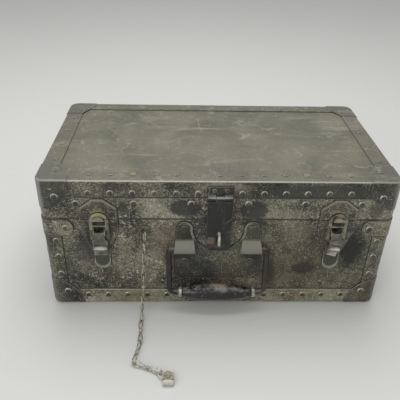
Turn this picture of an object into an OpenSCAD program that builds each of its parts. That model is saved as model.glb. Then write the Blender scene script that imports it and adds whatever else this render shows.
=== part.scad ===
// Metal-bound storage chest with a hinged lid, two draw catches, a hasp, a bail handle and a chained padlock.
// X runs along the width, the front faces -Y, Z is up, and the lowest faces lie on z = 0.
// The origin is under the middle of the closed chest, counting its handle and its hinge knuckles.

/* [Case] */
// Overall width over the corner caps
case_w = 457; // [420:1:520]
// Overall depth over the corner caps, without handle and hinges
case_d = 254; // [220:1:300]
// Overall height with the lid shut
case_h = 200; // [185:1:230]
// Height of the lid above the parting line
lid_h = 57; // [54:1:66]
// Plan radius of the upright corners
corner_r = 14; // [12:0.5:18]
// Bend radius of the top and bottom edges
edge_r = 4; // [3.5:0.25:5]
// Sheet thickness of the body and lid shells
shell_t = 1.5; // [1:0.1:2.5]
// Gap between the lid's rim and the body's rim
rim_gap = 0.4; // [0.3:0.05:0.8]

/* [Bindings] */
// Leg width of the angle bindings
binding_w = 25; // [20:0.5:28]
// Thickness of the bindings and of the lid's rim band
binding_t = 1.5; // [1:0.1:2]
// Thickness of the corner caps and rim straps
cap_t = 1; // [0.8:0.1:1.5]
// Reach of a lid cap from its corner
lid_cap_reach = 43; // [38:0.5:46]
// Straight side seam of a lid cap, from its corner
lid_cap_side = 40.5; // [36:0.5:42]
// Length of that straight seam
lid_cap_seam = 15; // [12:0.5:18]
// Reach of a bottom cap from its corner
bottom_cap_reach = 44; // [38:0.5:48]
// Height of the rim straps
strap_h = 25; // [20:0.5:28]
// Reach of a rim strap from its corner
strap_reach = 41.5; // [36:0.5:46]
// Seam left between neighbouring bindings
seam = 0.4; // [0.3:0.05:1]
// Slack between nested bends, which keeps them from binding
bend_slack = 0.5; // [0.3:0.1:0.8]

/* [Rim tongue] */
// Thickness of the tongue that the lid closes over
tongue_t = 1.2; // [0.8:0.1:2]
// Height of the tongue above the parting line
tongue_up = 7; // [4:0.5:10]
// Depth of the tongue below the parting line
tongue_down = 16; // [10:1:24]
// Clearance between the tongue and the lid's inner wall
tongue_gap = 0.8; // [0.6:0.1:1.2]

/* [Rivets] */
// Head diameter of the binding rivets
rivet_d = 9; // [7:0.25:10]
// Head height of the binding rivets
rivet_h = 2.2; // [1.6:0.1:2.6]
// Head diameter of the larger rivets
big_rivet_d = 10; // [8:0.25:11]
// Head height of the larger rivets
big_rivet_h = 2.5; // [1.8:0.1:2.8]
// Head height of the flat rivets
flat_rivet_h = 1; // [0.8:0.1:1.4]
// Rounding of the flat rivets' rims
flat_rivet_r = 0.7; // [0.4:0.1:0.8]
// Pitch of the rivets along the front and back bindings
rivet_pitch = 27.3; // [24:0.1:32]
// Distance of the lid's face rivets below the lid's top
lid_rivet_drop = 18.4; // [15:0.1:20]
// Distance of the lid's top rivets from the edge
top_rivet_in = 18; // [14:0.5:20]
// Pitch of the rivets on the sides of the lid's top
side_rivet_pitch = 46; // [40:1:50]
// Height of the bottom binding's rivets
bottom_rivet_z = 16; // [13:0.5:19]
// Distance of the rim band's outermost rivets from the corner, on the front and back
rim_rivet_in = 48.5; // [47:0.5:52]
// The same on the sides
side_rim_rivet_in = 55; // [52:0.5:60]
// Height of the large rivets above the parting line
rim_rivet_up = 23.5; // [20:0.5:25]

/* [Catches] */
// Distance of each catch's middle from the case's side
catch_in = 75.5; // [70:0.5:80]
// Width of the catch's base and keeper
catch_w = 47.5; // [44:0.5:52]
// Thickness of the catch's plates
plate_t = 1.5; // [1:0.1:2]
// Width of the base's tongue
catch_tongue_w = 21; // [18:0.5:23]
// Drop of the base's lowest point below the parting line
catch_low_drop = 78.5; // [72:0.5:84]
// Diameter of the catches' flat rivets
catch_rivet_d = 8; // [7:0.25:9]
// Distance of those rivets from the side of the base or keeper
catch_rivet_in = 7; // [7:0.1:7.5]
// Drop of the base's rivets below the parting line
base_rivet_drop = 15; // [13:0.5:16]
// Height of the keeper's rivets above the parting line
keeper_rivet_up = 9; // [8:0.5:10]
// Inner half width of the stirrup
stirrup_in = 8.1; // [7.9:0.1:9]
// Width of the stirrup's strip
stirrup_strip = 4; // [3:0.25:4.5]
// Thickness of the stirrup's strip
stirrup_t = 2.2; // [1.8:0.1:2.4]
// Drop of the centre of the stirrup's arch below the parting line
arch_drop = 1; // [0:0.25:1.5]
// Drop of the stirrup's crossbar below the parting line
crossbar_drop = 9; // [8:0.5:9.5]
// Height of the lever pin below the parting line
pin_drop = 18; // [16:0.5:20]
// Height from the lever pin down to the stirrup's pivot
toggle_drop = 9; // [8.5:0.25:10]
// Distance of the lever pin from the body's face
pin_out = 7.5; // [7:0.25:8]
// Distance of the stirrup's pivot from the body's face
pivot_out = 5.5; // [5.3:0.1:5.8]
// Radius of the lever pins
pin_r = 1.5; // [1.2:0.1:1.7]
// Radial clearance of a pin in its holes
pin_gap = 0.08; // [0.05:0.01:0.1]
// Clearance between pieces that slide past one another
side_gap = 0.3; // [0.2:0.05:0.4]
// Width of the lever's thumb tab
tab_w = 19.5; // [17:0.5:22]
// Skew of the bent thumb tab on the right catch
bent_tab = 16; // [0:1:18]
// Radius of the roll across the thumb tab
roll_r = 3.4; // [2.6:0.1:3.8]
// Drop of the thumb tab's curled end below the stirrup's pivot
tab_drop = 23.5; // [20:0.5:26]
// Height of the hook's lip over its neck
hook_lip = 0.9; // [0.8:0.1:1.1]
// Height of the keeper's shoulders above the parting line
keeper_shoulder = 17; // [16:0.5:19]
// Height of the keeper's top above the parting line
keeper_h = 30; // [28:0.5:31]
// Width of the keeper's top
keeper_top_w = 14; // [12:0.5:18]
// Width of the raised borders of the plates
border_w = 2.6; // [1.8:0.1:3]
// Height of the raised borders of the plates
border_h = 0.8; // [0.5:0.1:0.9]

/* [Hasp] */
// Width of the hasp
hasp_w = 32; // [28:0.5:36]
// Thickness of the hasp's leaf and strap
hasp_t = 2; // [1.5:0.1:2.5]
// Depth of the hasp's pin below the lid's top
hasp_pin_drop = 24; // [22:0.5:27]
// Drop of the strap's lowest point below the parting line
hasp_low_drop = 45; // [44:0.5:47]
// Width of the strap's slot
slot_w = 6.4; // [5.5:0.1:8]
// Length of the strap's slot
slot_l = 22; // [21:0.5:23]
// Wire diameter of the staple
staple_wire = 3.6; // [3:0.1:4]
// Height of the staple's eye over the wire
staple_h = 19; // [17:0.5:19.5]
// Drop of the staple's middle below the parting line
staple_drop = 23.5; // [22:0.5:25]
// Diameter of the hasp's and the hinges' rivets
small_rivet_d = 6; // [5:0.25:7]

/* [Handle] */
// Distance of the handle plate's ears from the middle
ear_x = 44; // [40:0.5:46]
// Radius of the handle plate's ears
ear_r = 10.5; // [9:0.25:11]
// Drop of the ears' centres below the parting line
ear_drop = 14.5; // [13:0.5:16]
// Half width of the handle plate
handle_plate_hw = 57; // [55:0.5:58]
// Drop of the handle plate's lower edge below the parting line
handle_plate_drop = 97; // [90:0.5:98]
// Drop of the handle plate's lower rivets below the parting line
handle_rivet_drop = 67; // [64:0.5:72]
// Radius of the valley between the ears
valley_r = 34; // [33:0.25:35]
// Thickness of the handle plate
handle_plate_t = 1.6; // [1.2:0.1:2]
// Drop of the bail's pivot below the parting line
bail_drop = 44.5; // [42:0.5:46]
// Distance from the pivot to the grip's axis
bail_l = 67.3; // [65:0.1:69]
// Half width of the bail at the middle of its legs
bail_hw = 64.5; // [64:0.5:68]
// Wire diameter of the bail
bail_wire = 7.2; // [6:0.1:7.6]
// Upper bend radius of the bail
bail_bend = 5; // [4.5:0.25:5]
// Lower bend radius of the bail
bail_low_bend = 8.5; // [6:0.5:9]
// Width of the hoods at their mouth
hood_w = 29; // [27:0.5:29.5]
// Width of the hoods at their top
hood_top_w = 24; // [22:0.5:25]
// Diameter of the grip at its middle
grip_d = 24; // [20:0.5:26]
// Diameter of the grip at its ends
grip_end_d = 11.5; // [10:0.5:13]
// Length of the grip
grip_l = 95; // [90:0.5:98]
// Diameter of the ferrules
ferrule_d = 13; // [12:0.5:15]
// Length of the ferrules
ferrule_l = 4; // [2:0.25:4.5]
// Gap between the hanging grip and the body's face
grip_gap = 2.5; // [1.5:0.25:5]

/* [Hinges] */
// Distance of each hinge's middle from the case's side
hinge_in = 78.5; // [70:0.5:100]
// Width of a hinge
hinge_w = 40; // [34:1:50]
// Height of a hinge leaf
leaf_h = 31; // [26:0.5:34]
// Thickness of the hinge leaves
leaf_t = 1.6; // [1.2:0.1:1.8]
// Radius of the hinge knuckles
knuckle_r = 3.4; // [3.2:0.1:4]
// Radius of the hinge pins
hinge_pin_r = 1.6; // [1.3:0.1:1.8]
// Distance of a hinge's rivets from its middle
hinge_rivet_x = 12; // [10:0.5:13]

/* [Chain and padlock] */
// Distance of the chain's anchor from the middle
anchor_x = 95.3; // [90:0.5:100]
// Drop of the anchor's eye below the parting line
anchor_drop = 16; // [15:0.5:17]
// Length of a chain link between its neighbours
link_pitch = 36; // [35.5:0.1:36.5]
// Wire diameter of the chain
link_wire = 1.7; // [1.5:0.05:1.9]
// Bend radius of a link's loops
link_bend = 3.3; // [3.1:0.1:3.6]
// Free play between two neighbouring links
link_play = 0.3; // [0.2:0.05:0.4]
// Width of the padlock
lock_w = 13; // [12:0.5:14]
// Length of the padlock
lock_l = 20; // [18:0.5:22]
// Free length of the shackle's legs
shackle_leg = 5; // [4.5:0.25:5.5]
// Wire diameter of the padlock's shackle
shackle_wire = 1.6; // [1.4:0.1:1.7]

/* [Hidden] */
$fn = 64;
skin = cap_t + binding_t;
rim_z = case_h - lid_h;
hinge_out = side_gap + knuckle_r - cap_t;
front_reach = grip_d + grip_gap - skin;
back_reach = hinge_out + knuckle_r;
mid_y = (front_reach - back_reach) / 2;
front_y = mid_y - case_d / 2;
back_y = mid_y + case_d / 2;
band_y = front_y + cap_t;
shell_y = front_y + skin;
inner_in = skin + shell_t;
lid_low = rim_z + rim_gap;
// Drops of the upright bindings' rivets below the parting line, and their distance from the corner
corner_low_drop = rim_z - bottom_cap_reach - 10;
corner_rivet_drops = [strap_h + 9, (strap_h + 9 + corner_low_drop) / 2 - 2, corner_low_drop];
corner_rivet_in = 17.5;
// Distance of a cap's rivet from the edges of the case
cap_rivet_in = 23.5;
ends = [-1, 1];
// Depth to which a raised feature runs into the plate that carries it
bite = 0.5;

catch_x = case_w / 2 - catch_in;
catch_low_z = rim_z - catch_low_drop;
pin_z = rim_z - pin_drop;
pivot_z = pin_z - toggle_drop;
arch_r = stirrup_in + stirrup_strip;
arch_z = rim_z - arch_drop;
hook_low_z = arch_z + 3.2;
hook_gap = 0.6;
hook_play = 3.9;
hook_lip_t = 1;
keeper_low = lid_low + 0.4;
base_shoulder = 17;
lever_out = pin_out + pin_r;
ear_t = 1.2;
ear_in = stirrup_in - side_gap - ear_t;
cheek_out = ear_in - side_gap;
cheek_t = 1.5;
tab_top = pivot_z - stirrup_t / 2 - side_gap;

hasp_z = case_h - hasp_pin_drop;
hasp_low_z = rim_z - hasp_low_drop;
staple_z = rim_z - staple_drop;
hasp_knuckle_r = 3.2;
hasp_pin_r = 1.5;
hasp_y = band_y - side_gap - hasp_knuckle_r;
strap_out = hasp_knuckle_r;
hasp_rivet_up = 11;

plate_face = shell_y - handle_plate_t;
ear_z = rim_z - ear_drop;
bail_z = rim_z - bail_drop;
bail_r = bail_wire / 2;
barrel_r = bail_r + 2.6;
bail_y = plate_face - barrel_r + 1.5;
grip_y = front_y + skin - grip_gap - grip_d / 2;
bail_tilt = asin((bail_y - grip_y) / bail_l);

hinge_x = case_w / 2 - hinge_in;
hinge_y = back_y + hinge_out;
hinge_rivet_steps = [13, 25];

wire_r = link_wire / 2;
lie_z = 3.7;
anchor_z = rim_z - anchor_drop;
hang_y = front_y - 6;
hang_lean = 3;
hook_over = wire_r + link_play / 2;
hanging = ceil(((anchor_z - lie_z) / link_pitch - 1) / cos(hang_lean));
// Lean of the link that comes down to the ground, between the hanging ones and the lying ones
steep = 90 - asin((anchor_z - hanging * link_pitch * cos(hang_lean) - lie_z) / link_pitch);
// Heading of each link: its lean from straight down, and its turn about Z from straight forward
chain_route = concat([for (i = [1 : hanging]) [hang_lean, -90]], [[steep, -2]],
                     [for (turn = [2, -9, 67]) [90, turn]]);
shackle_turn = 45;
shackle_r = 3.6;
// Distance of the shackle's bend centre from the last link
shackle_hook = shackle_r - shackle_wire / 2 - link_play / 2;

// Outline of a rectangle with its two upper corners rounded, standing on the X axis
module rim_outline(w, h, r) {
  translate([-w / 2, 0]) square([w, h - r]);
  translate([-w / 2 + r, 0]) square([w - 2 * r, h]);
  if (r > 0) for (s = ends) translate([s * (w / 2 - r), h - r]) circle(r);
}

// Half of the same outline, to be turned about its left side
module corner_outline(plan_r, h, r) {
  square([plan_r, h - r]);
  square([plan_r - r, h]);
  if (r > 0) translate([plan_r - r, h - r]) circle(r);
}

// A block of the case's plan, drawn in by inset on all sides, with upright corners of radius plan_r
// and the edge at its top rounded by rim_r. It stands on z = 0.
module case_block(inset, h, plan_r, rim_r) {
  w = case_w - 2 * inset;
  d = case_d - 2 * inset;
  translate([0, mid_y, 0]) {
    rotate([90, 0, 90]) linear_extrude(w - 2 * plan_r, center = true) rim_outline(d, h, rim_r);
    rotate([90, 0, 0]) linear_extrude(d - 2 * plan_r, center = true) rim_outline(w, h, rim_r);
    for (turn = [0, 90, 180, 270])
      translate([(turn == 0 || turn == 270 ? 1 : -1) * (w / 2 - plan_r),
                 (turn < 180 ? 1 : -1) * (d / 2 - plan_r), 0])
        rotate(turn) rotate_extrude(angle = 90) corner_outline(plan_r, h, rim_r);
  }
}

// The plan of the case as an outline, drawn in by inset
module case_plan(inset, plan_r) {
  w = case_w - 2 * inset;
  d = case_d - 2 * inset;
  translate([0, mid_y]) {
    square([w - 2 * plan_r, d], center = true);
    square([w, d - 2 * plan_r], center = true);
    for (sx = ends, sy = ends) translate([sx * (w / 2 - plan_r), sy * (d / 2 - plan_r)]) circle(plan_r);
  }
}

// A hoop round the case between two insets
module hoop(outer, inner, z0, z1, slack = 0) {
  translate([0, 0, z0]) linear_extrude(z1 - z0) difference() {
    case_plan(outer, corner_r - outer);
    case_plan(inner, corner_r - inner - slack);
  }
}

// Puts a piece drawn with its case corner at the origin, running inwards along +X, +Y and +Z,
// at one of the eight corners
module at_corner(sx, sy, top) {
  translate([sx * case_w / 2, mid_y + sy * case_d / 2, top ? case_h : 0])
    mirror([sx > 0 ? 1 : 0, 0, 0]) mirror([0, sy > 0 ? 1 : 0, 0]) mirror([0, 0, top ? 1 : 0])
      children();
}

// Lays a flat outline, drawn in X and Z, against an upright plane at y and thickens it to the front
module on_front(y, t) {
  translate([0, y, 0]) rotate([90, 0, 0]) linear_extrude(t) children();
}

// Carries an outline drawn in Y and Z along X, from the middle outwards
module along_x(w) {
  rotate([90, 0, 90]) linear_extrude(w, center = true) children();
}

// A domed rivet head standing on z = 0
module rivet(d, h) {
  ball_r = (d * d / 4 + h * h) / (2 * h);
  rotate_extrude() intersection() {
    translate([0, h - ball_r]) circle(ball_r, $fn = 96);
    square([d, 2 * h]);
  }
}

// A flat rivet head with a rounded rim, standing on z = 0
module flat_rivet(d) {
  rotate_extrude() {
    square([d / 2, flat_rivet_h - flat_rivet_r]);
    square([d / 2 - flat_rivet_r, flat_rivet_h]);
    translate([d / 2 - flat_rivet_r, flat_rivet_h - flat_rivet_r]) intersection() {
      circle(flat_rivet_r);
      square(flat_rivet_r);
    }
  }
}

// Places a rivet on a face that looks forward (turn 0), right (90), back (180) or left (270)
module on_face(x, y, z, turn) {
  translate([x, y, z]) rotate(turn) rotate([90, 0, 0]) children();
}

module face_rivet(x, y, z, turn) {
  on_face(x, y, z, turn) rivet(rivet_d, rivet_h);
}

module big_rivet(x, y, z, turn) {
  on_face(x, y, z, turn) rivet(big_rivet_d, big_rivet_h);
}

// Body

module body_shell() {
  color([0.16, 0.16, 0.13]) difference() {
    translate([0, 0, rim_z]) mirror([0, 0, 1])
      case_block(skin, rim_z - skin, corner_r - skin, edge_r - skin);
    translate([0, 0, inner_in]) case_block(inner_in, rim_z, corner_r - inner_in, 0);
  }
}

module rim_tongue() {
  up_in = inner_in + tongue_gap;
  color([0.2, 0.2, 0.18]) {
    hoop(inner_in, up_in + tongue_t, rim_z - tongue_down, rim_z);
    hoop(up_in, up_in + tongue_t, rim_z, rim_z + tongue_up);
  }
}

// Section of an angle binding, with its outer bend near the origin and its legs along +X and +Y
module angle_outline() {
  r = edge_r - cap_t;
  translate([cap_t, cap_t]) difference() {
    union() {
      translate([r, 0]) square([binding_w - cap_t - r, binding_t]);
      translate([0, r]) square([binding_t, binding_w - cap_t - r]);
      intersection() {
        translate([r, r]) circle(r);
        square(r);
      }
    }
    translate([binding_t, binding_t]) square(binding_w);
  }
}

// An angle binding along an edge of length l, carried along X about the middle
module edge_binding(l) {
  along_x(l) angle_outline();
}

module long_binding(sy, top) {
  color([0.14, 0.14, 0.12])
    translate([0, mid_y + sy * case_d / 2, top ? case_h : 0])
      mirror([0, sy > 0 ? 1 : 0, 0]) mirror([0, 0, top ? 1 : 0]) edge_binding(case_w - 2 * binding_w);
}

module side_binding(sx, top) {
  color([0.14, 0.14, 0.12])
    translate([sx * case_w / 2, mid_y, top ? case_h : 0])
      mirror([sx > 0 ? 1 : 0, 0, 0]) mirror([0, 0, top ? 1 : 0])
        rotate(-90) edge_binding(case_d - 2 * binding_w);
}

module corner_binding(sx, sy) {
  color([0.14, 0.14, 0.12]) intersection() {
    hoop(cap_t, skin, edge_r, rim_z, bend_slack);
    at_corner(sx, sy, false) cube([binding_w - seam, binding_w - seam, rim_z]);
  }
}

// The outermost layer of the case round the bottom or the top
module cap_layer(top) {
  translate([0, 0, top ? 0 : case_h]) mirror([0, 0, top ? 0 : 1]) difference() {
    case_block(0, case_h, corner_r, edge_r);
    case_block(cap_t, case_h - cap_t, corner_r - cap_t - bend_slack, edge_r - cap_t - bend_slack);
  }
}

module bottom_cap(sx, sy) {
  color([0.15, 0.15, 0.13]) intersection() {
    cap_layer(false);
    at_corner(sx, sy, false) intersection() {
      sphere(bottom_cap_reach, $fn = 96);
      cube(bottom_cap_reach);
    }
  }
}

// Outline of a rim strap on one face: a tab with a round end
module strap_outline() {
  end_r = strap_h / 2;
  translate([0, rim_z - cap_t - strap_h]) {
    square([strap_reach - end_r, strap_h]);
    translate([strap_reach - end_r, end_r]) circle(end_r);
  }
}

// A rim strap wraps the upright binding and steps down to the shell beside it
module rim_strap(sx, sy) {
  color([0.15, 0.15, 0.13]) intersection() {
    union() {
      hoop(0, cap_t, 0, rim_z, bend_slack);
      difference() {
        hoop(cap_t, skin, 0, rim_z);
        for (tx = ends, ty = ends) at_corner(tx, ty, false) cube([binding_w, binding_w, rim_z]);
      }
    }
    at_corner(sx, sy, false) intersection() {
      translate([0, strap_reach, 0]) rotate([90, 0, 0]) linear_extrude(strap_reach) strap_outline();
      rotate([90, 0, 90]) linear_extrude(strap_reach) strap_outline();
    }
  }
}

module body_rivets() {
  run = floor(rivet_room(case_w) - 0.5) + 0.5;
  side_run = floor(rivet_room(case_d));
  strap_z = rim_z - cap_t - strap_h / 2;
  color([0.3, 0.3, 0.26]) {
    for (i = [-run : run]) {
      face_rivet(i * rivet_pitch, band_y, bottom_rivet_z, 0);
      face_rivet(i * rivet_pitch, back_y - cap_t, bottom_rivet_z, 180);
    }
    for (sx = ends, i = [-side_run : side_run])
      face_rivet(sx * (case_w / 2 - cap_t), mid_y + i * rivet_pitch, bottom_rivet_z, sx * 90);
    for (sx = ends, sy = ends) {
      for (drop = corner_rivet_drops) at_corner_faces(sx, sy, cap_t, corner_rivet_in, rim_z - drop)
        rivet(rivet_d, rivet_h);
      at_corner_faces(sx, sy, 0, cap_rivet_in, cap_rivet_in) rivet(big_rivet_d, big_rivet_h);
      at_corner_faces(sx, sy, 0, strap_reach - strap_h / 2 + 3, strap_z) rivet(big_rivet_d, big_rivet_h);
    }
  }
}

// Rivet pitches that fit between the middle and the cap of an edge of length l
function rivet_room(l) = (l / 2 - bottom_cap_reach - rivet_d / 2) / rivet_pitch;

// Places a rivet on each of the two faces beside an upright corner
module at_corner_faces(sx, sy, inset, reach, z) {
  on_face(sx * (case_w / 2 - reach), mid_y + sy * (case_d / 2 - inset), z, sy < 0 ? 0 : 180) children();
  on_face(sx * (case_w / 2 - inset), mid_y + sy * (case_d / 2 - reach), z, sx * 90) children();
}

// Lid

module lid_shell() {
  h = lid_h - rim_gap - skin;
  color([0.2, 0.2, 0.17]) translate([0, 0, lid_low]) difference() {
    case_block(skin, h, corner_r - skin, edge_r - skin);
    translate([0, 0, -shell_t]) case_block(inner_in, h, corner_r - inner_in, 0);
  }
}

module lid_rim_band() {
  color([0.17, 0.17, 0.14]) hoop(cap_t, skin, lid_low, case_h - binding_w - seam, bend_slack);
}

module lid_cap(sx, sy) {
  in = binding_w + 1.5;
  // Plan of the cap from its corner: a straight seam, then a slant to the side binding's inner edge
  plan = [[0, 0], [lid_cap_side, 0], [lid_cap_side, lid_cap_seam], [in, lid_cap_reach - 4],
          [in, lid_cap_reach], [0, lid_cap_reach]];
  color([0.15, 0.15, 0.13]) intersection() {
    cap_layer(true);
    at_corner(sx, sy, true) intersection() {
      linear_extrude(lid_cap_reach) polygon(plan);
      rotate([0, 90, 0]) cylinder(r = lid_cap_reach, h = lid_cap_reach, $fn = 96);
      rotate([-90, 0, 0]) cylinder(r = lid_cap_reach, h = lid_cap_reach, $fn = 96);
    }
  }
}

module lid_rivets() {
  z = case_h - lid_rivet_drop;
  run = floor(rivet_room(case_w));
  side_run = floor(rivet_room(case_d));
  top_side_run = floor((case_d / 2 - lid_cap_reach - rivet_d) / side_rivet_pitch + 0.5) - 0.5;
  color([0.3, 0.3, 0.26]) {
    for (i = [-run : run]) {
      if (abs(i * rivet_pitch) > (hasp_w + rivet_d) / 2) face_rivet(i * rivet_pitch, band_y, z, 0);
      face_rivet(i * rivet_pitch, back_y - cap_t, z, 180);
      for (sy = ends)
        translate([i * rivet_pitch, mid_y + sy * (case_d / 2 - top_rivet_in), case_h - cap_t])
          flat_rivet(rivet_d);
    }
    for (sx = ends) {
      for (i = [-side_run : side_run])
        face_rivet(sx * (case_w / 2 - cap_t), mid_y + i * rivet_pitch, z, sx * 90);
      for (i = [-top_side_run : top_side_run])
        translate([sx * (case_w / 2 - top_rivet_in + 3), mid_y + i * side_rivet_pitch, case_h - cap_t])
          flat_rivet(rivet_d);
      for (sy = ends) {
        at_corner_faces(sx, sy, 0, cap_rivet_in, case_h - cap_rivet_in) rivet(big_rivet_d, big_rivet_h);
        translate([sx * (case_w / 2 - cap_rivet_in), mid_y + sy * (case_d / 2 - cap_rivet_in - 4), case_h])
          flat_rivet(big_rivet_d);
      }
    }
  }
}

module lid_rim_rivets() {
  z = rim_z + rim_rivet_up;
  pitch = (case_w - 2 * rim_rivet_in) / 5;
  side_pitch = case_d / 2 - side_rim_rivet_in;
  color([0.3, 0.3, 0.26]) for (s = ends) {
    for (i = [-2.5 : 2.5]) big_rivet(i * pitch, mid_y + s * (case_d / 2 - cap_t), z, s < 0 ? 0 : 180);
    for (i = [-1 : 1]) big_rivet(s * (case_w / 2 - cap_t), mid_y + i * side_pitch, z, s * 90);
  }
}

// Catches

module catch_base(sx) {
  tongue_r = catch_tongue_w / 2;
  tongue_z = catch_low_z + tongue_r;
  shoulder_z = rim_z - base_shoulder;
  waist_z = catch_low_z + 2 * tongue_r + border_w;
  face = shell_y - plate_t;
  color([0.22, 0.22, 0.18]) translate([sx * catch_x, 0, 0]) {
    on_front(shell_y, plate_t) {
      base_top();
      polygon([[-catch_w / 2, shoulder_z], [catch_w / 2, shoulder_z], [tongue_r, waist_z],
               [-tongue_r, waist_z]]);
      translate([-tongue_r, tongue_z]) square([catch_tongue_w, shoulder_z - tongue_z]);
      translate([0, tongue_z]) circle(tongue_r);
    }
    on_front(face + bite, border_h + bite) difference() {
      union() {
        translate([0, tongue_z]) circle(tongue_r);
        translate([-tongue_r, tongue_z]) square([catch_tongue_w, tongue_r]);
      }
      translate([0, tongue_z]) circle(tongue_r - border_w / 2);
      translate([-tongue_r + border_w / 2, tongue_z]) square([catch_tongue_w - border_w, catch_tongue_w]);
    }
    for (s = ends) translate([s * (ear_in + ear_t / 2), 0, 0]) catch_ear();
  }
}

// The upper part of the catch's base, which takes the two rivets
module base_top() {
  r = 3;
  top_z = rim_z - 2;
  low_z = rim_z - base_shoulder;
  translate([-catch_w / 2 + r, low_z - r]) square([catch_w - 2 * r, top_z - low_z + r]);
  translate([-catch_w / 2, low_z]) square([catch_w, top_z - low_z - r]);
  for (s = ends) translate([s * (catch_w / 2 - r), top_z - r]) circle(r);
}

// One of the two ears that hold the lever's pin
module catch_ear() {
  face = shell_y - plate_t;
  ear_r0 = pin_r + 2.4;
  along_x(ear_t) difference() {
    union() {
      translate([shell_y - pin_out, pin_z]) circle(ear_r0);
      polygon([[face + bite, pin_z - 6.5], [face + bite, pin_z + 6.5], [face, pin_z + 6.5],
               [shell_y - pin_out, pin_z + ear_r0], [shell_y - pin_out, pin_z - ear_r0],
               [face, pin_z - 6.5]]);
    }
    translate([shell_y - pin_out, pin_z]) circle(pin_r + pin_gap);
  }
}

module lever_pins() {
  color([0.4, 0.4, 0.36]) for (s = ends)
    translate([s * catch_x, shell_y - pin_out, pin_z]) rotate([0, 90, 0])
      cylinder(r = pin_r, h = 2 * (ear_in + ear_t), center = true);
}

// One cheek of the lever in Y and Z: a link from the lever's pin to the stirrup's pivot
module lever_cheek() {
  pin_y = shell_y - pin_out;
  pivot_y = shell_y - pivot_out;
  front = shell_y - lever_out - bite;
  along_x(cheek_t) difference() {
    union() {
      translate([pin_y, pin_z]) circle(pin_r + 1.7);
      translate([pivot_y, pivot_z]) circle(stirrup_t / 2 + 1.5);
      polygon([[front, pin_z + 2], [pin_y, pin_z + 2], [pivot_y + 2, pivot_z + 1.5],
               [pivot_y + 1, pivot_z - 2.2], [front, pivot_z - 2.4]]);
    }
    translate([pin_y, pin_z]) circle(pin_r + pin_gap);
    translate([pivot_y, pivot_z]) circle(stirrup_t / 2 + pin_gap);
  }
}

// The lever: a neck over the pin that flares between the stirrup's legs to a lip, and behind the lip a
// thumb tab with a roll across it and a curled end
module lever(sx, tab, skew) {
  neck_w = 2 * (ear_in - side_gap);
  flare_w = 2 * (stirrup_in - side_gap);
  neck_low = pivot_z + 4.5;
  face = shell_y - lever_out;
  tab_y = face + 1.4;
  curl_r = 1.4;
  curl_z = pivot_z - tab_drop;
  roll_z = pivot_z - tab_drop * 0.52;
  color([0.35, 0.35, 0.31]) translate([sx * catch_x, 0, 0]) {
    for (s = ends) translate([s * (cheek_out - cheek_t / 2), 0, 0]) lever_cheek();
    on_front(face, plate_t) translate([-neck_w / 2, neck_low - 1]) square([neck_w, pin_z + 3 - neck_low]);
    on_front(face + bite, plate_t + bite) {
      polygon([[-neck_w / 2, neck_low], [neck_w / 2, neck_low], [flare_w / 2, tab_top],
               [flare_w / 2, tab_top - 2], [-flare_w / 2, tab_top - 2], [-flare_w / 2, tab_top]]);
      translate([-tab / 2, tab_top - 2.2]) square([tab, 1.8]);
    }
    intersection() {
      translate([0, 0, roll_z]) rotate([0, skew, 0]) along_x(tab)
        translate([tab_y - plate_t, 0]) square([plate_t, tab_top - roll_z + tab]);
      along_x(2 * tab) translate([tab_y - lever_out, curl_z]) square([2 * lever_out, tab_top - curl_z]);
    }
    translate([0, 0, roll_z]) rotate([0, skew, 0]) along_x(tab - 2) {
      translate([tab_y - plate_t, curl_z - roll_z]) square([plate_t, roll_z - curl_z]);
      translate([tab_y - plate_t, 0]) circle(roll_r);
      translate([tab_y - plate_t, curl_z - roll_z]) circle(curl_r);
    }
  }
}

// The stirrup: an arched strip loop with a crossbar and turned-in ends that pivot in the lever
module stirrup(sx) {
  y = shell_y - pivot_out + stirrup_t / 2;
  mid = stirrup_in + stirrup_strip / 2;
  color([0.33, 0.32, 0.24]) translate([sx * catch_x, 0, 0]) {
    on_front(y, stirrup_t) {
      difference() {
        translate([0, arch_z]) circle(arch_r);
        translate([0, arch_z]) circle(stirrup_in);
        translate([-arch_r, arch_z - 2 * arch_r]) square(2 * arch_r);
      }
      for (s = ends) {
        translate([s * mid - stirrup_strip / 2, pivot_z]) square([stirrup_strip, arch_z - pivot_z]);
        translate([s * mid, pivot_z]) circle(stirrup_strip / 2);
      }
      translate([-stirrup_in - bite, rim_z - crossbar_drop]) square([2 * (stirrup_in + bite), stirrup_t]);
    }
    for (s = ends)
      translate([s * (cheek_out - cheek_t - 0.2), y - stirrup_t / 2, pivot_z]) rotate([0, s * 90, 0])
        cylinder(r = stirrup_t / 2, h = mid - cheek_out + cheek_t + 0.2);
  }
}

// The keeper: a shouldered plate on the rim band with a raised border, and the hook that the stirrup's
// arch passes over
module keeper(sx) {
  face = band_y - plate_t;
  neck_out = stirrup_t / 2 + pivot_out - skin + cap_t - plate_t + hook_play;
  neck_r = stirrup_in - hook_gap;
  color([0.22, 0.22, 0.17]) translate([sx * catch_x, 0, 0]) {
    on_front(band_y, plate_t) keeper_outline(0, keeper_low);
    on_front(face + bite, border_h + bite) difference() {
      keeper_outline(0, keeper_low);
      keeper_outline(border_w, 0);
    }
    hook_slice(face + bite, neck_out + 2 * bite, neck_r);
    hook_slice(face - neck_out, hook_lip_t, neck_r + hook_lip);
  }
}

// Outline of the keeper, drawn in by inset from its sides, shoulders and top
module keeper_outline(inset, low) {
  hw = catch_w / 2;
  top_hw = keeper_top_w / 2;
  slant = atan2(keeper_h - keeper_shoulder, hw - top_hw);
  shoulder_z = rim_z + keeper_shoulder - inset * tan((90 - slant) / 2);
  top_in = top_hw - inset * tan(slant / 2);
  top_z = rim_z + keeper_h - inset;
  polygon([[inset - hw, low], [hw - inset, low], [hw - inset, shoulder_z], [top_in, top_z],
           [-top_in, top_z], [inset - hw, shoulder_z]]);
}

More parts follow.
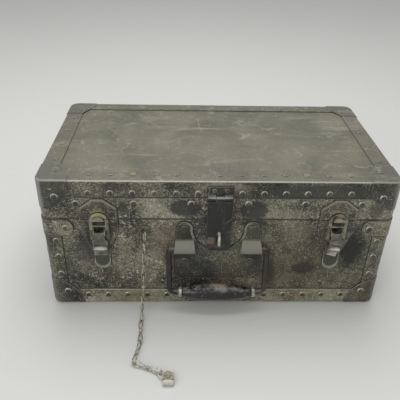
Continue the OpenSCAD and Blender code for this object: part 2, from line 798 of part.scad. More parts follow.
// A slice of the keeper's hook: the crown of a disc, thickened to the front. It is narrower than the
// stirrup's opening, so that the stirrup can be lifted and drawn off it.
module hook_slice(y, t, r) {
  hw = stirrup_in - side_gap;
  on_front(y, t) intersection() {
    translate([0, arch_z]) circle(r);
    translate([-hw, hook_low_z]) square(2 * hw);
  }
}

// Hasp and staple

module hasp_leaf() {
  // The plate starts clear of the strap's knuckle when the strap is swung right up
  low = hasp_z + hasp_knuckle_r + 1;
  color([0.09, 0.09, 0.09]) {
    on_front(band_y, hasp_t) translate([-hasp_w / 2, low]) square([hasp_w, case_h - 8 - low]);
    for (s = ends) translate([s * hasp_w / 3, 0, 0]) hasp_knuckle(hasp_w / 3 - side_gap)
      polygon([[band_y, hasp_z], [band_y, low + 0.5], [band_y - hasp_t, low + 0.5],
               [hasp_y, hasp_z + hasp_knuckle_r - 0.3], [hasp_y, hasp_z]]);
  }
}

// One knuckle of the hasp, of width w, with the web that joins it to its plate
module hasp_knuckle(w) {
  along_x(w) difference() {
    union() {
      translate([hasp_y, hasp_z]) circle(hasp_knuckle_r);
      children();
    }
    translate([hasp_y, hasp_z]) circle(hasp_pin_r + pin_gap);
  }
}

module hasp_pin() {
  color([0.2, 0.2, 0.19]) translate([0, hasp_y, hasp_z]) rotate([0, 90, 0])
    cylinder(r = hasp_pin_r, h = hasp_w + 2, center = true);
}

module hasp_strap() {
  y = hasp_y - strap_out + hasp_t;
  low_r = 8;
  low = hasp_low_z;
  top = hasp_z - hasp_knuckle_r - side_gap;
  color([0.07, 0.07, 0.07]) {
    on_front(y, hasp_t) difference() {
      union() {
        translate([-hasp_w / 2, low + low_r]) square([hasp_w, top - low - low_r]);
        translate([-hasp_w / 2 + low_r, low]) square([hasp_w - 2 * low_r, low_r]);
        for (s = ends) translate([s * (hasp_w / 2 - low_r), low + low_r]) circle(low_r);
      }
      slot_outline();
    }
    hasp_knuckle(hasp_w / 3 - side_gap)
      polygon([[y, top - 2], [y - hasp_t, top - 2], [y - hasp_t, hasp_z], [hasp_y, hasp_z]]);
  }
}

// The slot that the staple comes through, with round ends
module slot_outline() {
  r = slot_w / 2;
  square_h = slot_l - slot_w;
  translate([-r, staple_z - square_h / 2]) square([slot_w, square_h]);
  for (s = ends) translate([0, staple_z + s * square_h / 2]) circle(r);
}

module staple_plate() {
  w = 26;
  h = 34;
  color([0.12, 0.1, 0.09]) difference() {
    on_front(shell_y, 1.2) translate([-w / 2, staple_z - h / 2]) square([w, h]);
    for (s = ends) translate([0, shell_y - 2, staple_z + s * (staple_h - staple_wire) / 2])
      rotate([-90, 0, 0]) cylinder(d = staple_wire + 2 * pin_gap, h = 4);
  }
}

// The staple: an eye of wire in an upright plane, which stands out through the hasp's slot
module hasp_staple() {
  r = (staple_h - staple_wire) / 2;
  arch_y = front_y - 10;
  color([0.5, 0.47, 0.38]) {
    for (s = ends) translate([0, arch_y, staple_z + s * r]) rotate([-90, 0, 0])
      cylinder(d = staple_wire, h = shell_y - arch_y);
    translate([0, arch_y, staple_z]) rotate([0, 90, 0]) rotate([0, 0, 180])
      rotate_extrude(angle = 180) translate([r, 0]) circle(d = staple_wire);
  }
}

// Handle

module handle_plate() {
  color([0.2, 0.2, 0.17]) {
    on_front(shell_y, handle_plate_t) handle_plate_outline();
    on_front(plate_face + bite, border_h + bite) intersection() {
      handle_plate_outline();
      handle_plate_border();
    }
    for (s = ends) translate([s * ear_x, 0, 0]) bail_barrel();
  }
}

// The raised border over the ears and round the valley between them
module handle_plate_border() {
  for (s = ends) translate([s * ear_x, ear_z]) difference() {
    circle(ear_r);
    circle(ear_r - border_w);
    translate([-ear_r, -2 * ear_r]) square(2 * ear_r);
  }
  translate([0, ear_z]) difference() {
    circle(valley_r + border_w);
    translate([-2 * valley_r, 0]) square(4 * valley_r);
  }
}

module handle_plate_outline() {
  hw = handle_plate_hw;
  low = rim_z - handle_plate_drop;
  r = 8;
  difference() {
    union() {
      polygon([[-hw, low + r], [hw, low + r], [hw, bail_z], [ear_x + ear_r, ear_z], [-ear_x - ear_r, ear_z],
               [-hw, bail_z]]);
      translate([-hw + r, low]) square([2 * (hw - r), r + 1]);
      for (s = ends) translate([s * (hw - r), low + r]) circle(r);
    }
    translate([0, ear_z]) circle(valley_r);
  }
  for (s = ends) translate([s * ear_x, ear_z]) circle(ear_r);
}

// The hood that is rolled over the bail's end, narrower at its top than at its mouth
module bail_barrel() {
  top_z = bail_z + 13;
  low_z = bail_z - barrel_r;
  intersection() {
    along_x(2 * hood_w) difference() {
      union() {
        translate([bail_y, bail_z]) circle(barrel_r);
        polygon([[plate_face, top_z], [plate_face, bail_z - 3], [bail_y, bail_z - 3],
                 [bail_y - barrel_r * 0.94, bail_z + barrel_r * 0.34]]);
      }
      translate([bail_y, bail_z]) circle(bail_r + pin_gap);
    }
    on_front(shell_y, 3 * barrel_r)
      polygon([[-hood_top_w / 2, top_z], [hood_top_w / 2, top_z], [hood_w / 2, low_z], [-hood_w / 2, low_z]]);
  }
}

// The bail hangs from its pivot in its own frame, whose origin is the middle of the pivot's axis
module in_bail() {
  translate([0, bail_y, bail_z]) rotate([-bail_tilt, 0, 0]) children();
}

module handle_bail() {
  leg_in = ear_x - hood_top_w / 2 + 1;
  color([0.1, 0.1, 0.1]) in_bail() for (s = ends) mirror([s < 0 ? 1 : 0, 0, 0]) {
    translate([leg_in, 0, 0]) rotate([0, 90, 0]) cylinder(r = bail_r, h = bail_hw - bail_bend - leg_in);
    bail_corner(bail_bend, -bail_bend, 0);
    translate([bail_hw, 0, -bail_l + bail_low_bend])
      cylinder(r = bail_r, h = bail_l - bail_bend - bail_low_bend);
    bail_corner(bail_low_bend, -bail_l + bail_low_bend, 270);
    translate([0, 0, -bail_l]) rotate([0, 90, 0]) cylinder(r = bail_r, h = bail_hw - bail_low_bend);
  }
}

// A quarter bend of the bail, of radius r about the height z, starting at the given turn
module bail_corner(r, z, turn) {
  translate([bail_hw - r, 0, z]) rotate([90, 0, 0]) rotate(turn)
    rotate_extrude(angle = 90) translate([r, 0]) circle(bail_r);
}

module handle_grip() {
  half = grip_l / 2;
  swell = (grip_d - grip_end_d) / 2;
  arc_r = (half * half + swell * swell) / (2 * swell);
  color([0.05, 0.05, 0.05]) in_bail() translate([0, 0, -bail_l]) rotate([0, 90, 0])
    rotate_extrude() difference() {
      intersection() {
        translate([grip_d / 2 - arc_r, 0]) circle(arc_r, $fn = 720);
        translate([0, -half]) square([grip_d, 2 * half]);
      }
      translate([0, -half - 1]) square([bail_r + 0.02, 2 * half + 2]);
    }
}

module handle_ferrules() {
  color([0.5, 0.5, 0.47]) in_bail() for (s = ends)
    translate([s * (grip_l + ferrule_l + 2 * side_gap) / 2, 0, -bail_l]) rotate([0, 90, 0]) difference() {
      cylinder(d = ferrule_d, h = ferrule_l, center = true);
      cylinder(r = bail_r + 0.02, h = 2 * ferrule_l, center = true);
    }
}

// Hinges

// Middles of a hinge's three knuckles, as steps of the knuckle's width
module hinge_knuckles(steps) {
  w = hinge_w / 3;
  for (s = ends, i = steps) translate([s * hinge_x + i * w, 0, 0]) along_x(w - side_gap) difference() {
    union() {
      translate([hinge_y, rim_z]) circle(knuckle_r);
      children();
    }
    translate([hinge_y, rim_z]) circle(hinge_pin_r + pin_gap);
  }
}

// A hinge leaf's plate against the plane at y, kept clear of the knuckles
module hinge_plate(y, z0, z1) {
  for (s = ends) translate([s * hinge_x, 0, 0]) along_x(hinge_w) difference() {
    translate([y, z0]) square([leaf_t, z1 - z0]);
    translate([hinge_y, rim_z]) circle(knuckle_r + side_gap);
  }
}

module hinge_lower_leaves() {
  y = back_y - skin;
  out = y + leaf_t;
  color([0.2, 0.2, 0.18]) {
    hinge_plate(y, rim_z - leaf_h, rim_z - 0.2);
    hinge_knuckles([-1, 1]) polygon([[out - 0.5, rim_z - 9], [out - 0.5, rim_z - 0.2], [hinge_y, rim_z - 0.2],
                                     [hinge_y, rim_z - knuckle_r + 0.1]]);
  }
}

module hinge_upper_leaves() {
  y = back_y - cap_t;
  color([0.2, 0.2, 0.18]) {
    hinge_plate(y, lid_low, rim_z + leaf_h);
    hinge_knuckles([0]) polygon([[y, lid_low], [y, rim_z + 8], [y + leaf_t, rim_z + 8],
                                 [hinge_y, rim_z + knuckle_r - 0.1], [hinge_y, lid_low]]);
  }
}

module hinge_pins() {
  color([0.4, 0.4, 0.36]) for (s = ends) translate([s * hinge_x, hinge_y, rim_z]) rotate([0, 90, 0])
    cylinder(r = hinge_pin_r, h = hinge_w + 1, center = true);
}

// Rivets of the fittings

module body_hardware_rivets() {
  color([0.3, 0.3, 0.26]) {
    for (sx = ends, s = ends)
      on_face(sx * catch_x + s * (catch_w / 2 - catch_rivet_in), shell_y - plate_t, rim_z - base_rivet_drop, 0)
        flat_rivet(catch_rivet_d);
    for (s = ends) {
      for (z = [ear_z, rim_z - handle_rivet_drop]) on_face(s * ear_x, plate_face, z, 0) flat_rivet(rivet_d);
      for (t = ends, z = hinge_rivet_steps)
        on_face(s * hinge_x + t * hinge_rivet_x, back_y - skin + leaf_t, rim_z - z, 180)
          flat_rivet(small_rivet_d);
    }
  }
}

module lid_hardware_rivets() {
  color([0.3, 0.3, 0.26]) for (s = ends) {
    for (sx = ends)
      on_face(sx * catch_x + s * (catch_w / 2 - catch_rivet_in), band_y - plate_t, rim_z + keeper_rivet_up, 0)
        flat_rivet(catch_rivet_d);
    on_face(s * hasp_w / 4, band_y - hasp_t, hasp_z + hasp_rivet_up, 0) flat_rivet(small_rivet_d);
    for (t = ends, z = hinge_rivet_steps)
      on_face(s * hinge_x + t * hinge_rivet_x, back_y - cap_t + leaf_t, rim_z + z, 180)
        flat_rivet(small_rivet_d);
  }
}

// Chain and padlock

// Unit step of a link that leans away from straight down and turns about Z
function heading(link) = [sin(link[0]) * sin(link[1]), -sin(link[0]) * cos(link[1]), -cos(link[0])];

// Place of joint i of the chain, counted from its anchor
function chain_joint(i) = i == 0 ? [-anchor_x, hang_y, anchor_z]
  : chain_joint(i - 1) + link_pitch * heading(chain_route[i - 1]);

module chain_anchor() {
  eye_r = 4;
  eye_wire_r = 1;
  color([0.25, 0.25, 0.22]) translate([-anchor_x, shell_y, anchor_z - eye_wire_r - link_play / 2]) {
    rotate([90, 0, 0]) cylinder(d = 13, h = 1.2);
    for (s = ends) translate([s * eye_r, 0, 0]) rotate([90, 0, 0])
      cylinder(r = eye_wire_r, h = shell_y - hang_y - eye_r);
    translate([0, hang_y + eye_r - shell_y, 0]) rotate(180)
      rotate_extrude(angle = 180) translate([eye_r, 0]) circle(eye_wire_r);
  }
}

// One knotted link from the origin down to z = -link_pitch: two loops that meet in a wrapped knot
module chain_link() {
  knot_h = 5;
  knot_r = 2.3;
  waist = 0.9;
  arc_z = -(link_bend - hook_over);
  leg_low = -(link_pitch - knot_h) / 2;
  for (end = [0, 1])
    translate([0, 0, -end * link_pitch]) mirror([0, 0, end]) {
      translate([0, 0, arc_z]) rotate([90, 0, 0]) rotate_extrude(angle = 180)
        translate([link_bend, 0]) circle(wire_r, $fn = 24);
      for (s = ends) rod([s * link_bend, 0, arc_z], [s * waist, 0, leg_low], wire_r);
    }
  translate([0, 0, -link_pitch / 2]) rotate_extrude($fn = 32) {
    translate([0, -knot_h / 2]) square([knot_r - wire_r, knot_h]);
    for (i = [-1 : 1]) translate([knot_r - wire_r, i * link_wire * 0.9]) circle(wire_r, $fn = 24);
  }
}

// A round rod between two points, with a ball at its start
module rod(a, b, r) {
  v = b - a;
  translate(a) {
    sphere(r, $fn = 24);
    rotate([0, acos(v[2] / norm(v)), atan2(v[1], v[0])]) cylinder(r = r, h = norm(v), $fn = 24);
  }
}

// Roll of link i about its own length: each stands across its neighbours, the first one across the
// anchor's eye, and the last one across the shackle
function link_roll(i) = i == 0 ? 25 : (i % 2 == 0 ? 1 : -1) * (i == len(chain_route) - 1 ? 60 : 45);

module chain_links() {
  color([0.55, 0.54, 0.48]) for (i = [0 : len(chain_route) - 1])
    translate(chain_joint(i)) rotate([0, 0, chain_route[i][1]]) rotate([-chain_route[i][0], 0, 0])
      rotate(link_roll(i)) chain_link();
}

// The padlock's frame: its origin is where the shackle hooks the last link, and the shackle's legs
// run along +X
module at_padlock() {
  p = chain_joint(len(chain_route));
  translate([p[0], p[1], lie_z]) children();
}

module padlock_shackle() {
  r = shackle_wire / 2;
  color([0.6, 0.59, 0.52]) at_padlock() rotate(-shackle_turn) {
    translate([shackle_hook, 0, 0]) rotate(90) rotate_extrude(angle = 180)
      translate([shackle_r, 0]) circle(r, $fn = 24);
    for (s = ends) translate([shackle_hook, s * shackle_r, 0]) rotate([0, 90, 0])
      cylinder(r = r, h = shackle_leg + 2.5, $fn = 24);
  }
}

module padlock_body() {
  t = 5.2;
  bead_r = lie_z;
  gable = 5;
  hole_r = shackle_wire / 2 + pin_gap;
  mid = 2;
  hw = lock_w / 2;
  low = gable + bead_r - lock_l;
  legs = shackle_hook + shackle_leg;
  color([0.45, 0.44, 0.36]) at_padlock() difference() {
    // The left shoulder is about square to the shackle's legs, which end in it
    translate([legs * cos(shackle_turn) + 3.2, 2.8 - legs * sin(shackle_turn), -lie_z]) {
      linear_extrude(t)
        polygon([[mid - hw, -1.5], [-0.5, gable - 1], [2.5, gable - 1], [mid + hw, 0.5], [mid + hw, low],
                 [mid - hw, low]]);
      translate([mid, low, bead_r]) rotate([0, 90, 0]) cylinder(r = bead_r, h = lock_w, center = true);
      translate([mid, -3.5, t - bite]) cylinder(d = 5, h = 0.8 + bite);
    }
    rotate(-shackle_turn) for (s = ends) translate([0, s * shackle_r, 0]) rotate([0, 90, 0])
      cylinder(r = hole_r, h = legs + 3.2, $fn = 24);
  }
}

body_shell();
rim_tongue();
long_binding(-1, false);  // bottom_binding_front
long_binding(1, false);  // bottom_binding_back
side_binding(-1, false);  // bottom_binding_left
side_binding(1, false);  // bottom_binding_right
corner_binding(-1, -1);  // corner_binding_front_left
corner_binding(1, -1);  // corner_binding_front_right
corner_binding(-1, 1);  // corner_binding_back_left
corner_binding(1, 1);  // corner_binding_back_right
bottom_cap(-1, -1);  // bottom_cap_front_left
bottom_cap(1, -1);  // bottom_cap_front_right
bottom_cap(-1, 1);  // bottom_cap_back_left
bottom_cap(1, 1);  // bottom_cap_back_right
rim_strap(-1, -1);  // rim_strap_front_left
rim_strap(1, -1);  // rim_strap_front_right
rim_strap(-1, 1);  // rim_strap_back_left
rim_strap(1, 1);  // rim_strap_back_right
body_rivets();
body_hardware_rivets();
handle_plate();
handle_bail();
handle_grip();
handle_ferrules();
staple_plate();
hasp_staple();
catch_base(-1);  // catch_base_left
catch_base(1);  // catch_base_right
lever_pins();
lever(-1, tab_w, 0);  // lever_left
lever(1, tab_w - 4, bent_tab);  // lever_right
stirrup(-1);  // stirrup_left
stirrup(1);  // stirrup_right
hinge_lower_leaves();
hinge_pins();
hinge_upper_leaves();
chain_anchor();
chain_links();
padlock_body();
padlock_shackle();
lid_shell();
long_binding(-1, true);  // lid_binding_front
long_binding(1, true);  // lid_binding_back
side_binding(-1, true);  // lid_binding_left
side_binding(1, true);  // lid_binding_right
lid_rim_band();
lid_cap(-1, -1);  // lid_cap_front_left
lid_cap(1, -1);  // lid_cap_front_right
lid_cap(-1, 1);  // lid_cap_back_left
lid_cap(1, 1);  // lid_cap_back_right
lid_rivets();
lid_rim_rivets();
lid_hardware_rivets();
keeper(-1);  // keeper_left
keeper(1);  // keeper_right
hasp_leaf();
hasp_pin();
hasp_strap();
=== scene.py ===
"""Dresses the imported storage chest: finishes for every riveted sheet-metal piece, a leather grip and a
knotted wire chain, on a plain pale stage seen from the photograph's angle. All sizes are in metres."""
import logging
import math
from dataclasses import dataclass

import bpy
import numpy as np
from mathutils import Matrix, Vector


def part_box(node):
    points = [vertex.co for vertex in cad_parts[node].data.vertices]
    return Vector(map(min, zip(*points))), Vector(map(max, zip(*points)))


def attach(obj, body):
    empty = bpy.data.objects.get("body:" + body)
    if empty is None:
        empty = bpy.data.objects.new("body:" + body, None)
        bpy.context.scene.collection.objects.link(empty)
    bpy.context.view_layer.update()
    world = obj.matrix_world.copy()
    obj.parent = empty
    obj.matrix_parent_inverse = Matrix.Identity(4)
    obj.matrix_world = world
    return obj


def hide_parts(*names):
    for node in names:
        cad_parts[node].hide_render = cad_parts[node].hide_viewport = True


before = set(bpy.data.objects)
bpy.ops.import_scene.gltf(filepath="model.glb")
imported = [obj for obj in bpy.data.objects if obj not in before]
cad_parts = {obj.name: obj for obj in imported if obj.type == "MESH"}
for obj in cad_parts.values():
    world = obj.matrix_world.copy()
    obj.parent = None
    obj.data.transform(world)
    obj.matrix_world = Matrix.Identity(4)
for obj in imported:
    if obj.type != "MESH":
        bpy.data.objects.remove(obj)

log = logging.getLogger("chest")
logging.basicConfig(level=logging.INFO, format="%(name)s: %(message)s")

Color = tuple[float, float, float]
Point = tuple[float, float, float]
Material, Object = bpy.types.Material, bpy.types.Object
Node, Socket, Tree = bpy.types.Node, bpy.types.NodeSocket, bpy.types.NodeTree
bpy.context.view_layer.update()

CORNERS = ("front_left", "front_right", "back_left", "back_right")
EDGES = ("front", "back", "left", "right")
SIDES = (-1, 1)
ORIGIN: Point = (0.0, 0.0, 0.0)

# Depth of the sheet on the chest's front, where the front's patches lie
FRONT = -0.1175

# Black painted shade for seams and for the lines beside steps
SHADE_BLACK: Color = (0.004, 0.004, 0.003)


# Shader building


@dataclass(frozen=True)
class Cloud:
    """Fractal noise stepped into a mask: 0 where the noise is below low and 1 where it is above high."""

    scale: float
    detail: float
    rough: float
    bent: float
    low: float
    high: float


@dataclass
class Net:
    """Adds nodes to one shader tree, sets their inputs and links them.

    The tree is a material's or a node group's. The place is the coordinates that its noises and groups take.
    """

    tree: Tree
    place: Socket | None = None

    def add(self, kind: str, settings: dict | None = None, **inputs: object) -> dict:
        """Adds one node.

        Args:
            kind: the node's type without its ShaderNode prefix.
            settings: attributes to set on the node, such as its operation.
            inputs: what fills its sockets, by their names or by their numbers as i0, i1, ...

        Returns:
            The new node's outputs.
        """
        node = self.tree.nodes.new("ShaderNode" + kind)
        for name, value in (settings or {}).items():
            setattr(node, name, value)
        for name, value in inputs.items():
            self.feed(node.inputs[int(name[1:]) if name[1:].isdigit() else name], value)
        return node.outputs

    def feed(self, socket: Socket, value: object) -> None:
        """Fills a socket.

        Args:
            socket: the socket to fill.
            value: the socket to link it to, or a plain value.
        """
        if isinstance(value, Socket):
            self.tree.links.new(value, socket)
        elif socket.type == "RGBA":
            socket.default_value = (*value, 1.0)
        else:
            socket.default_value = value

    def math(self, operation: str, a: object, b: object = 0.0, clamp: bool = False) -> Socket:
        """Puts out the result of a Math node."""
        return self.add("Math", {"operation": operation, "use_clamp": clamp}, i0=a, i1=b)[0]

    def times(self, a: object, b: object, clamp: bool = False) -> Socket:
        """Puts out a times b."""
        return self.math("MULTIPLY", a, b, clamp)

    def plus(self, a: object, b: object) -> Socket:
        """Puts out a plus b."""
        return self.math("ADD", a, b)

    def minus(self, a: object, b: object, clamp: bool = False) -> Socket:
        """Puts out a minus b."""
        return self.math("SUBTRACT", a, b, clamp)

    def inverse(self, a: object) -> Socket:
        """Puts out one minus a."""
        return self.minus(1.0, a)

    def most(self, a: object, b: object) -> Socket:
        """Puts out the larger of a and b."""
        return self.math("MAXIMUM", a, b)

    def ramp(self, value: object, low: object, high: object) -> Socket:
        """Puts out a smooth step of value: 0 below low and 1 above high."""
        return self.add("MapRange", {"interpolation_type": "SMOOTHSTEP"}, i0=value, i1=low, i2=high)[0]

    def blend(self, factor: object, a: object, b: object) -> Socket:
        """Puts out the mix of two colours: a where the factor is 0 and b where it is 1."""
        return self.add("Mix", {"data_type": "RGBA"}, i0=factor, i6=a, i7=b)[2]

    def tint(self, color: object, over: object, mask: object, strength: float) -> Socket:
        """Puts out a colour with another one laid over it where the mask is, at some strength."""
        return self.blend(self.times(mask, strength), color, over)

    def noise(self, scale: object, detail: float, rough: float, bent: float = 0.0,
              place: Socket | None = None) -> Socket:
        """Puts out fractal noise from 0 to 1, at the net's own place or at another one."""
        return self.add("TexNoise", Vector=place or self.place, Scale=scale, Detail=detail, Roughness=rough,
                        Distortion=bent)["Fac"]

    def cloud(self, cloud: Cloud, place: Socket | None = None) -> Socket:
        """Puts out a cloud's mask."""
        noise = self.noise(cloud.scale, cloud.detail, cloud.rough, cloud.bent, place)
        return self.ramp(noise, cloud.low, cloud.high)

    def group(self, name: str, **inputs: object) -> dict:
        """Places one of the shared node groups with its inputs filled, and puts out its outputs."""
        return self.add("Group", {"node_tree": bpy.data.node_groups[name]}, Vector=self.place, **inputs)


def new_group(name: str, inputs: dict[str, float | Point], *outputs: str) -> tuple[Net, dict, dict]:
    """Starts a shader node group.

    Args:
        name: the group's name.
        inputs: socket name to its default, a number or a vector. The place, Vector, comes before them.
        outputs: socket names; Normal is a vector and the others are numbers.

    Returns:
        The group's net, its input sockets to read and its output sockets to fill, by name.
    """
    tree = bpy.data.node_groups.new(name, "ShaderNodeTree")
    for socket, default in {"Vector": ORIGIN, **inputs}.items():
        kind = "NodeSocketVector" if isinstance(default, tuple) else "NodeSocketFloat"
        tree.interface.new_socket(socket, in_out="INPUT", socket_type=kind).default_value = default
    for socket in outputs:
        kind = "NodeSocketVector" if socket == "Normal" else "NodeSocketFloat"
        tree.interface.new_socket(socket, in_out="OUTPUT", socket_type=kind)
    given = tree.nodes.new("NodeGroupInput").outputs
    out = tree.nodes.new("NodeGroupOutput").inputs
    return Net(tree, given["Vector"]), given, out


def new_material(name: str) -> tuple[Material, Net, Node]:
    """Starts a material.

    Args:
        name: the material's name.

    Returns:
        The material, its net and its Principled shader.
    """
    material = bpy.data.materials.new(name)
    material.use_nodes = True
    return material, Net(material.node_tree), material.node_tree.nodes["Principled BSDF"]


class Effects:
    """The shader node groups that the finishes share by name."""

    def build(self) -> None:
        """Builds each group once."""
        for effect in (self.edge_wear, self.crevice, self.speckle, self.scuffs, self.spot, self.facing):
            effect()

    @staticmethod
    def edge_wear() -> None:
        """A mask of rubbed edges, and a normal that rounds them.

        The mask is one minus the dot product of the true normal and the normal averaged over Radius,
        broken up by noise, stepped and scaled by Amount.
        """
        net, given, out = new_group("edge_wear", {"Radius": 0.001, "Amount": 1.0}, "Mask", "Normal")
        rounded = net.add("Bevel", {"samples": 6}, Radius=given["Radius"])[0]
        flat = net.add("NewGeometry")["Normal"]
        dot = net.add("VectorMath", {"operation": "DOT_PRODUCT"}, i0=rounded, i1=flat)["Value"]
        bend = net.plus(net.inverse(dot), net.times(net.minus(net.noise(90.0, 5.0, 0.7), 0.5), 0.45))
        net.feed(out["Mask"], net.times(net.ramp(bend, 0.03, 0.22), given["Amount"], clamp=True))
        net.feed(out["Normal"], rounded)

    @staticmethod
    def crevice() -> None:
        """Masks of what lies beside steps, seams and rivets: pale dust, and black painted shade close to them.

        Each is one minus the openness of the surface within a reach, stepped. The dust (Mask) lies within
        Distance and is broken up by noise, and the painted shade (Seam) lies within seam_reach.
        """
        seam_reach = 0.0022
        net, given, out = new_group("crevice", {"Distance": 0.004, "Amount": 1.0}, "Mask", "Seam")
        open_share = net.add("AmbientOcclusion", {"samples": 8}, Distance=given["Distance"])["AO"]
        near_share = net.add("AmbientOcclusion", {"samples": 8}, Distance=seam_reach)["AO"]
        closed = net.ramp(net.inverse(open_share), 0.1, 0.42)
        patchy = net.cloud(Cloud(190.0, 4.0, 0.6, 0.0, 0.26, 0.56))
        net.feed(out["Mask"], net.times(net.times(closed, patchy), given["Amount"], clamp=True))
        net.feed(out["Seam"], net.ramp(net.inverse(near_share), 0.1, 0.24))

    @staticmethod
    def speckle() -> None:
        """A mask of fine grains, denser where a wide noise is high, and that wide noise (Patch).

        The grains are noise of scale Grain, stepped at a threshold that falls as the wide noise and Density
        rise.
        """
        net, given, out = new_group("speckle", {"Grain": 700.0, "Patch": 14.0, "Density": 0.5}, "Mask", "Patch")
        fine = net.noise(given["Grain"], 2.0, 0.6)
        wide = net.noise(given["Patch"], 6.0, 0.62, 0.3)
        threshold = net.minus(0.98, net.times(net.plus(wide, given["Density"]), 0.5))
        net.feed(out["Mask"], net.ramp(fine, threshold, net.plus(threshold, 0.16)))
        net.feed(out["Patch"], wide)

    @staticmethod
    def scuffs() -> None:
        """Masks of rubbed streaks and of thin scratches.

        Streaks are noise stretched along X, gathered in clouds. Scratches are the thin lines where three
        stretched and bent noises cross their middle value, let through where a wider noise is high.
        """
        net, _, out = new_group("scuffs", {}, "Streaks", "Scratches")
        along = net.add("Mapping", Vector=net.place, Scale=(9.0, 60.0, 60.0))[0]
        streak = net.cloud(Cloud(1.0, 5.0, 0.6, 0.8, 0.5, 0.75), along)
        gathered = net.cloud(Cloud(16.0, 4.0, 0.5, 0.6, 0.35, 0.7))
        lines = None
        for turn, scale in ((0.5, 26.0), (2.1, 18.0), (3.6, 40.0)):
            turned = net.add("Mapping", Vector=net.place, Rotation=(0.2, 0.3, turn),
                             Scale=(scale, scale * 0.18, scale * 0.6))[0]
            off_middle = net.math("ABSOLUTE", net.minus(net.noise(1.0, 1.0, 0.4, 0.7, turned), 0.5))
            line = net.inverse(net.ramp(off_middle, 0.0, 0.006))
            lines = net.most(lines, line) if lines else line
        gate = net.cloud(Cloud(22.0, 3.0, 0.6, 0.0, 0.52, 0.66))
        net.feed(out["Streaks"], net.times(streak, gathered))
        net.feed(out["Scratches"], net.times(lines, gate))

    @staticmethod
    def spot() -> None:
        """A soft patch round Centre: one inside the ellipsoid of half-sizes Size, zero outside it.

        The distance from the centre, in half-sizes, is roughened by noise of strength Ragged, and one minus
        its step over the outer share Soft is the mask.
        """
        net, given, out = new_group("spot", {"Centre": ORIGIN, "Size": (1.0, 1.0, 1.0), "Ragged": 0.4,
                                             "Soft": 0.3}, "Mask")
        off = net.add("VectorMath", {"operation": "SUBTRACT"}, i0=net.place, i1=given["Centre"])[0]
        share = net.add("VectorMath", {"operation": "DIVIDE"}, i0=off, i1=given["Size"])[0]
        far = net.add("VectorMath", {"operation": "LENGTH"}, i0=share)["Value"]
        rough = net.times(net.minus(net.noise(240.0, 5.0, 0.7), 0.5), net.times(given["Ragged"], 2.0))
        net.feed(out["Mask"], net.inverse(net.ramp(net.plus(far, rough), net.inverse(given["Soft"]), 1.0)))

    @staticmethod
    def facing() -> None:
        """Masks of faces that look up (Up), of bends that don't look down (Bend) and of rivets' rings (Round).

        All are steps of the normal's parts in the piece's own frame, so they stay put as the lid turns. A bend
        is where no part is near one, and counts most where it looks to the front, which makes it partly a
        painted highlight. A ring is where the dome of a rivet is steepest, with a painted highlight that makes
        it brightest at its top.
        """
        net, _, out = new_group("facing", {}, "Up", "Bend", "Round")
        own = net.add("VectorTransform", {"vector_type": "NORMAL", "convert_from": "WORLD",
                                          "convert_to": "OBJECT"}, i0=net.add("NewGeometry")["Normal"])[0]
        across, back, up = net.add("SeparateXYZ", i0=own)
        tallest = net.most(net.most(net.math("ABSOLUTE", back), net.math("ABSOLUTE", across)),
                           net.math("ABSOLUTE", up))
        bend = net.times(net.inverse(net.ramp(tallest, 0.8, 0.97)), net.ramp(up, -0.35, 0.15))
        # The weights toward the front and toward the top paint highlight onto bends and rivet rings.
        to_front = net.plus(net.times(net.ramp(net.times(back, -1.0), 0.2, 0.5), 0.7), 0.3)
        steep = net.inverse(net.ramp(tallest, 0.76, 0.88))
        lit = net.plus(net.times(net.ramp(up, -0.5, 0.2), 0.7), 0.3)
        net.feed(out["Up"], net.ramp(up, 0.55, 0.85))
        net.feed(out["Bend"], net.times(bend, to_front))
        net.feed(out["Round"], net.times(steep, lit))


# Finishes


@dataclass(frozen=True)
class Patch:
    """A stain, chip or rub at one place: an ellipsoid by its centre and half-sizes, and its colour."""

    centre: Point
    size: Point
    color: Color
    strength: float
    ragged: float = 0.4
    soft: float = 0.3

    def mask(self, net: Net) -> Socket:
        """Puts out where the patch lies."""
        return net.group("spot", Centre=self.centre, Size=self.size, Ragged=self.ragged,
                         Soft=self.soft)["Mask"]


def front_patch(x: float, z: float, width: float, height: float, color: Color, strength: float,
                ragged: float, soft: float, depth: float = 0.02) -> Patch:
    """A patch on the chest's front, from its centre and half-sizes."""
    return Patch((x, FRONT, z), (width, depth, height), color, strength, ragged, soft)


def seam_shadow(z: float, reach: float, strength: float = 0.85) -> Patch:
    """A black line of painted shade all round the chest at height z, that reaches so far up and down."""
    return Patch((0, 0, z), (3.0, 3.0, reach), SHADE_BLACK, strength, 0.12, 0.45)


@dataclass(frozen=True)
class Finish:
    """What all finishes share: a name, and a material whose one shader is fed by the finish's surface."""

    name: str

    def surface(self, net: Net) -> dict[str, object]:
        """Works out what feeds the shader.

        Args:
            net: the material's net.

        Returns:
            The shader's input names and what goes into them.
        """
        raise NotImplementedError

    def build(self) -> Material:
        """Builds the finish's material.

        Returns:
            The material.
        """
        material, net, shader = new_material(self.name)
        net.place = net.add("TexCoord")["Object"]
        for socket, value in self.surface(net).items():
            net.feed(shader.inputs[socket], value)
        return material


